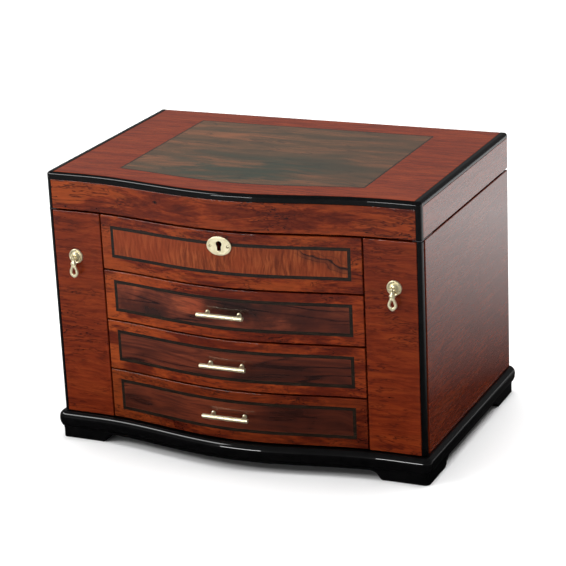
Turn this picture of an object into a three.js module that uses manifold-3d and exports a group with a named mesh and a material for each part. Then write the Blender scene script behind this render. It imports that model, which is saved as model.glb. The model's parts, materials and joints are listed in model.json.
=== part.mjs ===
// Jewelry armoire: a tabletop chest with a serpentine front. A hinged lid covers a tray with ring rolls,
// three drawers stand under a fixed lock panel, and a narrow door on each side hides a necklace bay.
// Millimetres. X runs to the right, Y to the back and Z up from the surface that the feet stand on.

import * as THREE from 'three';
import { mergeVertices } from 'three/addons/utils/BufferGeometryUtils.js';
import Module from 'manifold-3d';

const wasm = await Module();
wasm.setup();

// ---- Driving dimensions ----

const GAP = 0.3;                  // between pieces that touch
const BODY_WIDTH = 400;
const BODY_DEPTH = 256;           // at the flat ends of the front
const BOW_DEPTH = 20.4;           // how far the front swells out in the middle
const BOW_HALF_WIDTH = 167;       // past this distance from the middle the front is flat
const BOW_STEP = 14;              // length of one facet along the swell

const FOOT_HEIGHT = 9.5;
const FOOT_THICKNESS = 12;
const FOOT_ARM = 48;              // length of a foot's arm along the floor
const FOOT_SWEEP = 13;            // how much longer the arm is where it meets the apron
const APRON_HEIGHT = 2.5;
const APRON_OUT = 2.6;            // the apron and feet stand out this far from the body
const MOULDING_HEIGHT = 16.5;
const MOULDING_OUT = 6.25;
const MOULDING_ROUND = 5;
const PLINTH_CORNER = 8;          // plan radius of the moulding's corners

const BODY_HEIGHT = 218.2;
const LID_SEAM = 1.9;
const LID_HEIGHT = 37.7;
const PANEL = 10;                 // thickness of the sides and the back
const WALL = 8;                   // thickness of the partitions and the tray's front wall
const SHELF = 5;
const TRAY_FLOOR = 6;
const TRAY_DEPTH = 56.2;          // from the rim down to the tray's floor
const DIVIDER_HEIGHT = 38;
const DIVIDER = 5;

const COLUMN_HALF = 140.7;        // middle of the seam between the drawers and the doors
const FRONT_SEAM = 1.6;           // width of the seams between the fronts
const DRAWER_PITCH = 53.3;
const DRAWER_LIFT = 1.1;          // lowest drawer above the plinth
const DRAWER_COUNT = 3;
const DRAWER_WALL = 5;
const DRAWER_BOTTOM = 4;
const DRAWER_BOX_LOW = 3.5;
const DRAWER_BOX_HIGH = 46;
const DRAWER_BOX_HALF = 135.2;
const DRAWER_BOX_REAR = 104;

const INLAY_HALF = 129;
const INLAY_HEIGHT = 33.2;
const INLAY_DEPTH = 0.8;
const LOCK_INLAY_DROP = 10.4;     // from the rim down to the lock panel's inlay

const DOOR_THICKNESS = 9.5;
const DOOR_LIFT = 1.2;
const PIVOT_PIN = 2;
const PIVOT_DEPTH = 7;

const PULL_LENGTH = 49.5;
const PULL_RADIUS = 2.2;
const PULL_STANDOFF = 9.1;
const PULL_POST_X = 17;

const DROP_X = 171.7;
const DROP_Z = 199.8;
const DROP_PIVOT_OUT = 6.5;
const ROSETTE_RADIUS = 7.75;

const ESCUTCHEON_Z = 232.7;
const KEYHOLE_RADIUS = 3;
const KEYHOLE_SLOT = 1.95;
const BOLT_HALF_WIDTH = 5;
const BOLT_Y = -125;

const EDGING_FRONT = { top: 3, down: 7.5 };
const EDGING_SIDE = { top: 7, down: 5 };
const EDGING_ROUND = 3;
const LID_POST = { front: 5.3, side: 6 };
const LID_CORNER = 5;             // plan radius of the lid's front corners
const LID_INLAY_HALF = 132;
const LID_INLAY_REAR = 95;
const LID_INLAY_INSET = 33.5;     // from the lid's front edge

const HINGE_X = 110;
const HINGE_HALF = 25;
const KNUCKLE = 2.5;
const HINGE_PIN = 1.1;
const LEAF = 0.5;

// ---- Levels and planes that follow from them ----

const MOULDING_LOW = FOOT_HEIGHT + APRON_HEIGHT;
const PLINTH_TOP = MOULDING_LOW + MOULDING_HEIGHT;
const RIM = PLINTH_TOP + BODY_HEIGHT;
const LID_BOTTOM = RIM + LID_SEAM;
const LID_TOP = LID_BOTTOM + LID_HEIGHT;
const HALF_WIDTH = BODY_WIDTH / 2;
const HALF_DEPTH = BODY_DEPTH / 2;
const INNER_HALF = HALF_WIDTH - PANEL;
const REAR_INNER = HALF_DEPTH - PANEL;
const FRAME_FRONT = -HALF_DEPTH + PANEL;
const TRAY_FLOOR_TOP = RIM - TRAY_DEPTH;
const TRAY_FLOOR_LOW = TRAY_FLOOR_TOP - TRAY_FLOOR;
const TRAY_WALL_REAR = FRAME_FRONT + WALL;
const FRONT_HALF = COLUMN_HALF - FRONT_SEAM / 2;
const FRONT_BACK = -HALF_DEPTH + DOOR_THICKNESS;
const DRAWER_BASE = PLINTH_TOP + DRAWER_LIFT;
const LOCK_PANEL_LOW = DRAWER_BASE + DRAWER_COUNT * DRAWER_PITCH + FRONT_SEAM / 2;
const LOCK_PANEL_REAR = FRAME_FRONT - GAP;
const PIVOT_X = HALF_WIDTH - DOOR_THICKNESS / 2;
const PIVOT_Y = -HALF_DEPTH + DOOR_THICKNESS / 2;
const HINGE_Y = HALF_DEPTH + KNUCKLE + GAP;
const HINGE_Z = RIM + LID_SEAM / 2;
const SIDE_RAIL_TOP = LID_TOP - EDGING_SIDE.down - GAP;
const SIDES = { left: -1, right: 1 };

// ---- Materials ----

const makeMaterial = (color, roughness, metalness) =>
  new THREE.MeshStandardMaterial({ color, roughness, metalness });

const bubinga = makeMaterial(0x7a2a18, 0.18, 0);
const burl = makeMaterial(0x3f2018, 0.15, 0);
const ebonised = makeMaterial(0x0c0a0b, 0.12, 0);
const carcaseWood = makeMaterial(0x6a3b26, 0.5, 0);
const brass = makeMaterial(0xd9b46a, 0.2, 1);
const steel = makeMaterial(0x2a2a2c, 0.4, 1);
const lining = makeMaterial(0xd8cbb2, 0.95, 0);
const mirrorGlass = makeMaterial(0xd9dde0, 0.03, 1);

// ---- Solids ----

/** The closed solid of a three.js geometry, with shared corners merged and collapsed facets left out. */
function solid(geometry) {
  const bare = geometry.clone();
  bare.deleteAttribute('normal');
  bare.deleteAttribute('uv');
  const merged = mergeVertices(bare, 1e-3);
  const corners = merged.index.array;
  const facets = [];
  for (let i = 0; i < corners.length; i += 3) {
    const [a, b, c] = [corners[i], corners[i + 1], corners[i + 2]];
    if (a !== b && b !== c && c !== a) {
      facets.push(a, b, c);
    }
  }
  return new wasm.Manifold(new wasm.Mesh({
    numProp: 3,
    vertProperties: merged.attributes.position.array,
    triVerts: new Uint32Array(facets),
  }));
}

const join = (pieces) => pieces.reduce((whole, piece) => whole.add(piece));

/** A named mesh of a solid. */
function piece(name, body, material) {
  const result = body.getMesh();
  const geometry = new THREE.BufferGeometry();
  geometry.setAttribute('position', new THREE.BufferAttribute(result.vertProperties, 3));
  geometry.setIndex(new THREE.BufferAttribute(result.triVerts, 1));
  geometry.computeVertexNormals();
  const mesh = new THREE.Mesh(geometry, material);
  mesh.name = name;
  return mesh;
}

/** A rectangular block between two values along each axis, given in either order. */
function block([x0, x1], [y0, y1], [z0, z1]) {
  const geometry = new THREE.BoxGeometry(Math.abs(x1 - x0), Math.abs(y1 - y0), Math.abs(z1 - z0));
  geometry.translate((x0 + x1) / 2, (y0 + y1) / 2, (z0 + z1) / 2);
  return solid(geometry);
}

const extrude = (shape, depth, options = {}) =>
  new THREE.ExtrudeGeometry(shape, { depth, steps: 1, curveSegments: 8, bevelEnabled: false, ...options });

/** A plan outline raised from one level to another. */
function upright(points, low, high) {
  return solid(extrude(new THREE.Shape(points), high - low).translate(0, 0, low));
}

/** A plan outline raised between two levels, with its top and bottom edges rounded. */
function roundedSlab(points, low, high, radius) {
  const rounding = {
    bevelEnabled: true,
    bevelThickness: radius,
    bevelSize: radius,
    bevelOffset: -radius,
    bevelSegments: 2,
  };
  const slab = extrude(new THREE.Shape(points), high - low - 2 * radius, rounding);
  return solid(slab.translate(0, 0, low + radius));
}

/** A shape drawn in X and Z, carried along Y from front to back. */
function alongY(shape, front, back, options) {
  return solid(extrude(shape, back - front, options).rotateX(Math.PI / 2).translate(0, back, 0));
}

/** A shape drawn in Y and Z, carried along X. */
function alongX(shape, left, right, options) {
  const geometry = extrude(shape, right - left, options).rotateX(Math.PI / 2).rotateZ(Math.PI / 2);
  return solid(geometry.translate(left, 0, 0));
}

/** A round bar along X. */
function barX(radius, left, right, y, z, sides = 12) {
  const geometry = new THREE.CylinderGeometry(radius, radius, right - left, sides).rotateZ(Math.PI / 2);
  return solid(geometry.translate((left + right) / 2, y, z));
}

/** A round bar along Y. */
function barY(radius, x, front, back, z, sides = 12) {
  const geometry = new THREE.CylinderGeometry(radius, radius, back - front, sides);
  return solid(geometry.translate(x, (front + back) / 2, z));
}

/** A round bar along Z. */
function barZ(radius, x, y, low, high, sides = 12) {
  const geometry = new THREE.CylinderGeometry(radius, radius, high - low, sides).rotateX(Math.PI / 2);
  return solid(geometry.translate(x, y, (low + high) / 2));
}

/** A turned solid standing out towards the front from a point on a face. */
function turnedForward(profile, x, y, z, sides) {
  const points = profile.map(([radius, height]) => new THREE.Vector2(radius, height));
  return solid(new THREE.LatheGeometry(points, sides).rotateX(Math.PI).translate(x, y, z));
}

// ---- The serpentine front ----

/** Y of the front face at x, moved outward by a distance. */
function frontY(x, outward = 0) {
  const swell = (1 + Math.cos(Math.PI * Math.min(Math.abs(x) / BOW_HALF_WIDTH, 1))) / 2;
  return -HALF_DEPTH - BOW_DEPTH * swell - outward;
}

/** Points along the front face between two values of x. */
function frontLine(xFrom, xTo, outward = 0) {
  const count = Math.max(2, Math.ceil(Math.abs(xTo - xFrom) / BOW_STEP));
  return Array.from({ length: count + 1 }, (_, i) => {
    const x = xFrom + (xTo - xFrom) * i / count;
    return new THREE.Vector2(x, frontY(x, outward));
  });
}

/** A block with the serpentine face in front and a flat back. */
function frontBlock(xFrom, xTo, rear, low, high) {
  const flatBack = [new THREE.Vector2(xTo, rear), new THREE.Vector2(xFrom, rear)];
  return upright([...frontLine(xFrom, xTo), ...flatBack], low, high);
}

/** A band that follows the serpentine face between two outward distances. */
function frontBand(halfWidth, outwardFront, outwardBack, low, high) {
  const outer = frontLine(-halfWidth, halfWidth, outwardFront);
  const inner = frontLine(halfWidth, -halfWidth, outwardBack);
  return upright([...outer, ...inner], low, high);
}

/** The plan outline of the whole body, moved outward, with rounded corners. */
function planOutline(outward, frontRadius, rearRadius, rear = HALF_DEPTH + outward) {
  const half = HALF_WIDTH + outward;
  const front = -HALF_DEPTH - outward;
  const corner = (x, y, radius, quarter) => {
    const arc = new THREE.Path();
    arc.absarc(x, y, radius, quarter * Math.PI / 2, (quarter + 1) * Math.PI / 2, false);
    return radius > 0 ? arc.getPoints(4) : [new THREE.Vector2(x, y)];
  };
  return [
    ...corner(-half + frontRadius, front + frontRadius, frontRadius, 2),
    ...frontLine(-half + frontRadius + 1, half - frontRadius - 1, outward),
    ...corner(half - frontRadius, front + frontRadius, frontRadius, 3),
    ...corner(half - rearRadius, rear - rearRadius, rearRadius, 0),
    ...corner(-half + rearRadius, rear - rearRadius, rearRadius, 1),
  ];
}

// ---- Base ----

function makePlinth() {
  const moulding = roundedSlab(
    planOutline(MOULDING_OUT, PLINTH_CORNER, PLINTH_CORNER), MOULDING_LOW, PLINTH_TOP, MOULDING_ROUND);
  const apron = upright(planOutline(APRON_OUT, PLINTH_CORNER, PLINTH_CORNER), FOOT_HEIGHT, MOULDING_LOW + 1);
  const sockets = Object.values(SIDES).map((side) =>
    barZ(PIVOT_PIN + GAP, side * PIVOT_X, PIVOT_Y, PLINTH_TOP - PIVOT_DEPTH - GAP, PLINTH_TOP + 1));
  return piece('base_plinth', join([moulding, apron]).subtract(join(sockets)), ebonised);
}

/** The side view of a foot's arm: flat on the floor, then an ogee up to the apron. */
function footProfile(sign, outer) {
  const high = FOOT_HEIGHT - GAP;
  const floorEnd = outer - FOOT_ARM;
  const apronEnd = floorEnd - FOOT_SWEEP;
  const shape = new THREE.Shape();
  shape.moveTo(sign * (outer + 1), -1);
  shape.lineTo(sign * floorEnd, -1);
  shape.lineTo(sign * floorEnd, 0);
  shape.bezierCurveTo(
    sign * (floorEnd - 5), high * 0.25, sign * (floorEnd - 3), high * 0.85, sign * apronEnd, high);
  shape.lineTo(sign * (outer + 1), high);
  return shape;
}

/** An L-shaped bracket foot under one corner. */
function makeFoot(name, side, end) {
  const wide = HALF_WIDTH + APRON_OUT;
  const deep = HALF_DEPTH + APRON_OUT;
  const outer = upright(planOutline(APRON_OUT, PLINTH_CORNER, PLINTH_CORNER), 0, FOOT_HEIGHT);
  const inward = APRON_OUT - FOOT_THICKNESS;
  const inner = upright(planOutline(inward, 1, 1), -1, FOOT_HEIGHT + 1);
  const depthSpan = end < 0 ? [-deep - BOW_DEPTH, -deep + FOOT_THICKNESS] : [deep - FOOT_THICKNESS, deep + 1];
  const widthSpan = side < 0 ? [-wide - 1, -wide + FOOT_THICKNESS] : [wide - FOOT_THICKNESS, wide + 1];
  const crossArm = alongY(footProfile(side, wide), ...depthSpan);
  const sideArm = alongX(footProfile(end, deep), ...widthSpan);
  return piece(name, outer.subtract(inner).intersect(join([crossArm, sideArm])), ebonised);
}

// ---- Carcase ----

function makeCarcase() {
  const group = new THREE.Group();
  const low = PLINTH_TOP + GAP;
  group.add(makePlinth());
  for (const [label, side] of Object.entries(SIDES)) {
    group.add(makeFoot(`foot_front_${label}`, side, -1));
    group.add(makeFoot(`foot_rear_${label}`, side, 1));
    const sidePanel = block([side * INNER_HALF, side * HALF_WIDTH], [FRAME_FRONT, HALF_DEPTH], [low, RIM]);
    group.add(piece(`side_panel_${label}`, sidePanel, bubinga));
    const partition = block(
      [side * (COLUMN_HALF - WALL / 2), side * (COLUMN_HALF + WALL / 2)],
      [FRAME_FRONT, REAR_INNER - GAP], [low, TRAY_FLOOR_LOW - GAP]);
    group.add(piece(`partition_${label}`, partition, carcaseWood));
  }
  const clear = INNER_HALF - GAP;
  group.add(piece('back_panel', block([-clear, clear], [REAR_INNER, HALF_DEPTH], [low, RIM]), bubinga));
  const floor = block(
    [-clear, clear], [TRAY_WALL_REAR + GAP, REAR_INNER - GAP], [TRAY_FLOOR_LOW, TRAY_FLOOR_TOP]);
  group.add(piece('tray_floor', floor, carcaseWood));
  const shelfNames = ['drawer_shelf_lower', 'drawer_shelf_upper'];
  shelfNames.forEach((name, index) => {
    const middle = DRAWER_BASE + (index + 1) * DRAWER_PITCH;
    const half = COLUMN_HALF - WALL / 2 - GAP;
    const shelf = block(
      [-half, half], [FRAME_FRONT, REAR_INNER - GAP], [middle - SHELF / 2, middle + SHELF / 2]);
    group.add(piece(name, shelf, carcaseWood));
  });
  return group;
}

// ---- Lock, with its panel and its bolt ----

const CASE = { half: 15, front: BOLT_Y - 6.5, rear: BOLT_Y + 6, low: RIM - 25, high: RIM };
const SELVEDGE = { half: 19, front: BOLT_Y - 8.5, rear: BOLT_Y + 10.5, low: RIM - 1.8, high: RIM };
const STRIKE = { half: 12, front: BOLT_Y - 6, rear: BOLT_Y + 6, low: LID_BOTTOM, high: LID_BOTTOM + 1.5 };
const BOLT = { low: RIM - 20.3, high: RIM - 0.3, thickness: 4 };
const MORTISE_DEPTH = 8;

/** A block of one of the lock's parts, grown on all sides by a clearance. */
function lockBlock({ half, front, rear, low, high }, clearance = 0) {
  return block([-half - clearance, half + clearance], [front - clearance, rear + clearance],
    [low - clearance, high + clearance]);
}

/** The slot that the bolt slides in, between two levels. */
function boltSlot(clearance, low, high) {
  const half = BOLT_HALF_WIDTH + clearance;
  const reach = BOLT.thickness / 2 + clearance;
  return block([-half, half], [BOLT_Y - reach, BOLT_Y + reach], [low, high]);
}

/** The keyhole: a round hole over a narrower slot. */
function keyhole(front, back, grow = 0) {
  const roundZ = ESCUTCHEON_Z + 1.9;
  const round = barY(KEYHOLE_RADIUS + grow, 0, front, back, roundZ);
  const slotHalf = KEYHOLE_SLOT + grow;
  const slot = block([-slotHalf, slotHalf], [front, back], [ESCUTCHEON_Z - 4.9 - grow, roundZ]);
  return join([round, slot]);
}

function makeLock() {
  const group = new THREE.Group();
  const pocket = join([
    lockBlock(CASE, GAP),
    lockBlock(SELVEDGE, GAP),
    block([-CASE.half - GAP, CASE.half + GAP], [CASE.front - GAP, FRAME_FRONT + 1], [CASE.low - GAP, RIM + 1]),
  ]);

  const inlayHigh = RIM - LOCK_INLAY_DROP;
  const inlayLow = inlayHigh - INLAY_HEIGHT;
  const recess = frontBand(
    INLAY_HALF + GAP, 1, -INLAY_DEPTH - GAP, inlayLow - GAP, inlayHigh + GAP);
  const panel = frontBlock(-FRONT_HALF, FRONT_HALF, LOCK_PANEL_REAR, LOCK_PANEL_LOW, RIM)
    .subtract(recess)
    .subtract(pocket)
    .subtract(keyhole(frontY(0) - 1, CASE.front));
  group.add(piece('lock_panel', panel, bubinga));

  const inlay = frontBand(INLAY_HALF, 0, -INLAY_DEPTH, inlayLow, inlayHigh);
  group.add(piece('lock_panel_inlay', inlay.subtract(keyhole(frontY(0) - 1, -HALF_DEPTH)), burl));

  const clear = INNER_HALF - GAP;
  const trayWall = block([-clear, clear], [FRAME_FRONT, TRAY_WALL_REAR], [TRAY_FLOOR_LOW, RIM]);
  group.add(piece('tray_front_wall', trayWall.subtract(pocket), carcaseWood));

  const caseBody = join([lockBlock(CASE), lockBlock(SELVEDGE)]);
  const slide = boltSlot(0.4, BOLT.low - GAP, RIM + 1);
  group.add(piece('lock_case', caseBody.subtract(slide), brass));
  group.add(piece('lock_bolt', boltSlot(0, BOLT.low, BOLT.high), steel));
  group.add(makeEscutcheon());
  return group;
}

/** The oval plate around the keyhole, with its two pins. */
function makeEscutcheon() {
  const face = frontY(0) - GAP;
  const oval = new THREE.Shape();
  oval.absellipse(0, ESCUTCHEON_Z, 12.65, 9.1, 0, 2 * Math.PI);
  const rounding = { bevelEnabled: true, bevelSize: 0.5, bevelThickness: 0.5, bevelSegments: 1 };
  const plate = alongY(oval, face - 0.9, face - 0.5, rounding);
  const pins = [-10, 10].map((x) => barY(0.9, x, face - 1.8, face - 1, ESCUTCHEON_Z, 8));
  const whole = join([plate, ...pins]).subtract(keyhole(face - 3, face + 1));
  return piece('escutcheon', whole, brass);
}

// ---- Tray fittings ----

const TRAY_SPLIT_Y = 20;          // the long divider's middle
const TRAY_FRONT_SPLIT_X = 70;    // the dividers on both sides of the ring rolls
const TRAY_REAR_SPLIT_X = 95;
const ROLL_COUNT = 8;
const ROLL_VALLEY = 13;
const ROLL_HIGH = 24;

function makeTrayFittings() {
  const group = new THREE.Group();
  const low = TRAY_FLOOR_TOP + GAP;
  const high = low + DIVIDER_HEIGHT;
  const front = TRAY_WALL_REAR + GAP;
  const rear = REAR_INNER - GAP;
  const clear = INNER_HALF - 2 * GAP;
  const crossWall = (x, from, to) => block([x - DIVIDER / 2, x + DIVIDER / 2], [from, to], [low, high]);
  const divider = join([
    block([-clear, clear], [TRAY_SPLIT_Y - DIVIDER / 2, TRAY_SPLIT_Y + DIVIDER / 2], [low, high]),
    ...[-1, 1].map((side) => crossWall(side * TRAY_FRONT_SPLIT_X, front, TRAY_SPLIT_Y)),
    ...[-1, 0, 1].map((side) => crossWall(side * TRAY_REAR_SPLIT_X, TRAY_SPLIT_Y, rear)),
  ]);
  group.add(piece('tray_divider', divider, lining));

  const padFront = front + GAP;
  const padRear = TRAY_SPLIT_Y - DIVIDER / 2 - GAP;
  const pitch = (padRear - padFront) / ROLL_COUNT;
  const rolls = new THREE.Shape();
  rolls.moveTo(padFront, low);
  rolls.lineTo(padRear, low);
  rolls.lineTo(padRear, low + ROLL_VALLEY);
  for (let i = ROLL_COUNT - 1; i >= 0; i -= 1) {
    const start = padFront + i * pitch;
    rolls.bezierCurveTo(
      start + pitch, low + ROLL_HIGH * 1.15, start, low + ROLL_HIGH * 1.15, start, low + ROLL_VALLEY);
  }
  const half = TRAY_FRONT_SPLIT_X - DIVIDER / 2 - GAP;
  group.add(piece('ring_roll_pad', alongX(rolls, -half, half, { curveSegments: 5 }), lining));
  return group;
}

// ---- Lid ----

function makeLid() {
  const group = new THREE.Group();
  const post = LID_POST;
  const rearReach = HALF_DEPTH + 20;
  const shell = roundedSlab(
    planOutline(0, LID_CORNER, 0, rearReach), LID_BOTTOM - 2 * EDGING_ROUND, LID_TOP, EDGING_ROUND);
  const above = (level) => [level, LID_TOP + 1];
  const everyY = [-2 * HALF_DEPTH, HALF_DEPTH];
  const frontTop = frontBand(HALF_WIDTH + 5, 5, -EDGING_FRONT.top, ...above(LID_TOP - EDGING_FRONT.down));
  const sideParts = Object.values(SIDES).flatMap((side) => [
    block([side * (HALF_WIDTH - EDGING_SIDE.top), side * (HALF_WIDTH + 5)], everyY,
      above(LID_TOP - EDGING_SIDE.down)),
    block([side * (HALF_WIDTH - post.front), side * (HALF_WIDTH + 5)],
      [-2 * HALF_DEPTH, -HALF_DEPTH + post.side], above(LID_BOTTOM)),
  ]);
  group.add(piece('lid_edging', shell.intersect(join([frontTop, ...sideParts])), ebonised));

  const panelHalf = HALF_WIDTH - EDGING_SIDE.top - GAP;
  const panelFront = frontLine(-panelHalf, panelHalf, -EDGING_FRONT.top - GAP);
  const panelBack = [new THREE.Vector2(panelHalf, HALF_DEPTH), new THREE.Vector2(-panelHalf, HALF_DEPTH)];
  const panelLow = SIDE_RAIL_TOP + GAP;
  const inlayOutline = (grow) => [
    ...frontLine(-LID_INLAY_HALF - grow, LID_INLAY_HALF + grow, -LID_INLAY_INSET + grow),
    new THREE.Vector2(LID_INLAY_HALF + grow, LID_INLAY_REAR + grow),
    new THREE.Vector2(-LID_INLAY_HALF - grow, LID_INLAY_REAR + grow),
  ];
  const recess = upright(inlayOutline(GAP), LID_TOP - INLAY_DEPTH - GAP, LID_TOP + 1);
  const topPanel = upright([...panelFront, ...panelBack], panelLow, LID_TOP).subtract(recess);
  group.add(piece('lid_top_panel', topPanel, bubinga));
  group.add(piece('lid_inlay', upright(inlayOutline(0), LID_TOP - INLAY_DEPTH, LID_TOP), burl));

  const railHalf = HALF_WIDTH - post.front - GAP;
  const rabbet = frontBand(
    HALF_WIDTH, 5, -EDGING_FRONT.top - GAP, ...above(LID_TOP - EDGING_FRONT.down - GAP));
  const sideRailFront = -HALF_DEPTH + post.side + GAP;
  const shoulders = Object.values(SIDES).map((side) =>
    block([side * (INNER_HALF - GAP), side * HALF_WIDTH], [sideRailFront - GAP, 0], [0, LID_TOP]));
  const strikePocket = lockBlock(STRIKE, GAP);
  const mortise = boltSlot(1, LID_BOTTOM - 1, LID_BOTTOM + MORTISE_DEPTH);
  const frontRail = frontBlock(-railHalf, railHalf, TRAY_WALL_REAR, LID_BOTTOM, SIDE_RAIL_TOP)
    .subtract(join([rabbet, ...shoulders, strikePocket, mortise]));
  group.add(piece('lid_front_rail', frontRail, bubinga));
  for (const [label, side] of Object.entries(SIDES)) {
    const rail = block(
      [side * INNER_HALF, side * HALF_WIDTH], [sideRailFront, HALF_DEPTH], [LID_BOTTOM, SIDE_RAIL_TOP]);
    group.add(piece(`lid_side_rail_${label}`, rail, bubinga));
  }
  const clear = INNER_HALF - GAP;
  const backRail = block([-clear, clear], [REAR_INNER, HALF_DEPTH], [LID_BOTTOM, SIDE_RAIL_TOP]);
  group.add(piece('lid_back_rail', backRail, bubinga));

  const strike = lockBlock(STRIKE).subtract(boltSlot(0.7, LID_BOTTOM - 1, LID_TOP));
  group.add(piece('lock_strike', strike, brass));
  group.add(...makeMirror(SIDE_RAIL_TOP));
  return group;
}

/** The mirror under the lid, let into a framed backing board. */
function makeMirror(boardTop) {
  const board = { halfX: 150, halfY: 90, thickness: 6, rim: 12, recess: 3.6 };
  const low = boardTop - board.thickness;
  const glassX = board.halfX - board.rim;
  const glassY = board.halfY - board.rim;
  const recess = block([-glassX, glassX], [-glassY, glassY], [low - 1, low + board.recess]);
  const backing = block([-board.halfX, board.halfX], [-board.halfY, board.halfY], [low, boardTop]);
  const glass = block(
    [-glassX + GAP, glassX - GAP], [-glassY + GAP, glassY - GAP], [low + 0.5, low + board.recess - GAP]);
  return [
    piece('lid_mirror_frame', backing.subtract(recess), bubinga),
    piece('lid_mirror', glass, mirrorGlass),
  ];
}

// ---- Lid hinges ----

/** One leaf of a butt hinge with its knuckles. The moving leaf carries the pin. */
function hingeLeaf(middleX, level, knuckles, holdsPin) {
  const rear = HALF_DEPTH - 0.1;
  const spans = knuckles.map(([from, to]) => [middleX + from, middleX + to]);
  const parts = [block([middleX - HINGE_HALF, middleX + HINGE_HALF], [REAR_INNER + 0.5, rear], level)];
  for (const span of spans) {
    parts.push(block(span, [rear - 0.5, HINGE_Y], level));
    parts.push(barX(KNUCKLE, ...span, HINGE_Y, HINGE_Z));
  }
  const ends = [middleX - HINGE_HALF, middleX + HINGE_HALF];
  if (holdsPin) {
    return join([...parts, barX(HINGE_PIN, ...ends, HINGE_Y, HINGE_Z, 12)]);
  }
  return join(parts).subtract(barX(HINGE_PIN + GAP, ends[0] - 1, ends[1] + 1, HINGE_Y, HINGE_Z, 12));
}

function makeLidHinges() {
  const group = new THREE.Group();
  const fixedKnuckles = [[-HINGE_HALF, -15], [-5, 5], [15, HINGE_HALF]];
  const movingKnuckles = [[-15 + GAP, -5 - GAP], [5 + GAP, 15 - GAP]];
  const fixedLevel = [RIM + GAP, RIM + GAP + LEAF];
  const movingLevel = [LID_BOTTOM - GAP - LEAF, LID_BOTTOM - GAP];
  for (const [label, side] of Object.entries(SIDES)) {
    const fixed = hingeLeaf(side * HINGE_X, fixedLevel, fixedKnuckles, false);
    const moving = hingeLeaf(side * HINGE_X, movingLevel, movingKnuckles, true);
    group.add(piece(`hinge_fixed_leaf_${label}`, fixed, brass));
    group.add(piece(`hinge_lid_leaf_${label}`, moving, brass));
  }
  return group;
}

// ---- Doors ----

/** The hole in the top of a door that the pivot plate's pin fills, half in the stile and half in the panel. */
const topSocket = (side) =>
  barZ(PIVOT_PIN + GAP, side * PIVOT_X, PIVOT_Y, RIM - PIVOT_DEPTH - GAP, RIM + 1);

/** The ebonised half-round stile that the door turns on, with its lower pin and its upper socket. */
function makeStile(label, side, low) {
  const radius = DOOR_THICKNESS / 2;
  const arc = new THREE.Path();
  arc.absarc(0, 0, radius, -Math.PI / 2, Math.PI / 2, false);
  const section = arc.getPoints(8).map(({ x, y }) => new THREE.Vector2(side * (PIVOT_X + x), PIVOT_Y + y));
  const pin = barZ(PIVOT_PIN, side * PIVOT_X, PIVOT_Y, PLINTH_TOP - PIVOT_DEPTH, low + 1);
  const panelSide = block(
    [side * PIVOT_X, side * (PIVOT_X - radius)], [-HALF_DEPTH, FRONT_BACK], [low - GAP, low + 2]);
  const stile = join([upright(section, low, RIM), pin]).subtract(join([panelSide, topSocket(side)]));
  return piece(`door_stile_${label}`, stile, ebonised);
}

/** The plate on the rim whose pin holds the top of the stile. */
function makePivotPlate(label, side) {
  const level = [RIM + GAP, RIM + GAP + 1.1];
  const plate = block([side * (INNER_HALF + 0.5), side * (HALF_WIDTH - 0.6)], [PIVOT_Y - 3.2, -96], level);
  const pin = barZ(PIVOT_PIN, side * PIVOT_X, PIVOT_Y, RIM - PIVOT_DEPTH, RIM + GAP + 0.5);
  return piece(`door_pivot_plate_${label}`, join([plate, pin]), steel);
}

/** The turned rosette with two small cheeks and the pin that the drop hangs on. */
function makeRosette(label, side) {
  const x = side * DROP_X;
  const face = frontY(DROP_X) - GAP;
  const profile = [[0, 0], [ROSETTE_RADIUS, 0], [ROSETTE_RADIUS, 0.9], [6.6, 1.7], [5.2, 1.3], [4.2, 2.4],
    [2.8, 3.2], [0, 3.2]];
  const plate = turnedForward(profile, x, face, DROP_Z, 18);
  const pivotY = frontY(DROP_X) - DROP_PIVOT_OUT;
  const cheeks = [-1, 1].flatMap((hand) => [
    block([x + hand * 1.5, x + hand * 2.6], [pivotY, face - 2.5], [DROP_Z - 1.8, DROP_Z + 1.8]),
    barX(1.8, x + Math.min(hand * 1.5, hand * 2.6), x + Math.max(hand * 1.5, hand * 2.6), pivotY, DROP_Z, 12),
  ]);
  const pin = barX(0.8, x - 2, x + 2, pivotY, DROP_Z, 10);
  return piece(`door_rosette_${label}`, join([plate, ...cheeks, pin]), brass);
}

/** The pendant: an eye on the pin, a neck, a bead, and a pierced teardrop with a small tip. */
function makeDrop(label, side) {
  const x = side * DROP_X;
  const y = frontY(DROP_X) - DROP_PIVOT_OUT;
  const eye = barX(1.9, x - 1.2, x + 1.2, y, DROP_Z);
  const neck = barZ(1.1, x, y, DROP_Z - 8, DROP_Z - 1.6, 8);
  const bead = solid(new THREE.SphereGeometry(1, 10, 6).scale(2.8, 2, 2).translate(x, y, DROP_Z - 5.9));
  const teardrop = new THREE.Shape();
  teardrop.moveTo(x, DROP_Z - 7);
  teardrop.bezierCurveTo(x + 3, DROP_Z - 10, x + 4.8, DROP_Z - 12, x + 4.8, DROP_Z - 15);
  teardrop.bezierCurveTo(x + 4.8, DROP_Z - 18.5, x + 1.5, DROP_Z - 19.5, x, DROP_Z - 21);
  teardrop.bezierCurveTo(x - 1.5, DROP_Z - 19.5, x - 4.8, DROP_Z - 18.5, x - 4.8, DROP_Z - 15);
  teardrop.bezierCurveTo(x - 4.8, DROP_Z - 12, x - 3, DROP_Z - 10, x, DROP_Z - 7);
  const window = new THREE.Path();
  window.absellipse(x, DROP_Z - 14.4, 1.9, 3, 0, 2 * Math.PI);
  teardrop.holes.push(window);
  const pendant = alongY(teardrop, y - 1.4, y + 1.4, { curveSegments: 4 });
  const bore = barX(0.8 + GAP, x - 2, x + 2, y, DROP_Z, 10);
  return piece(`door_drop_${label}`, join([eye, neck, bead, pendant]).subtract(bore), brass);
}

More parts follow.
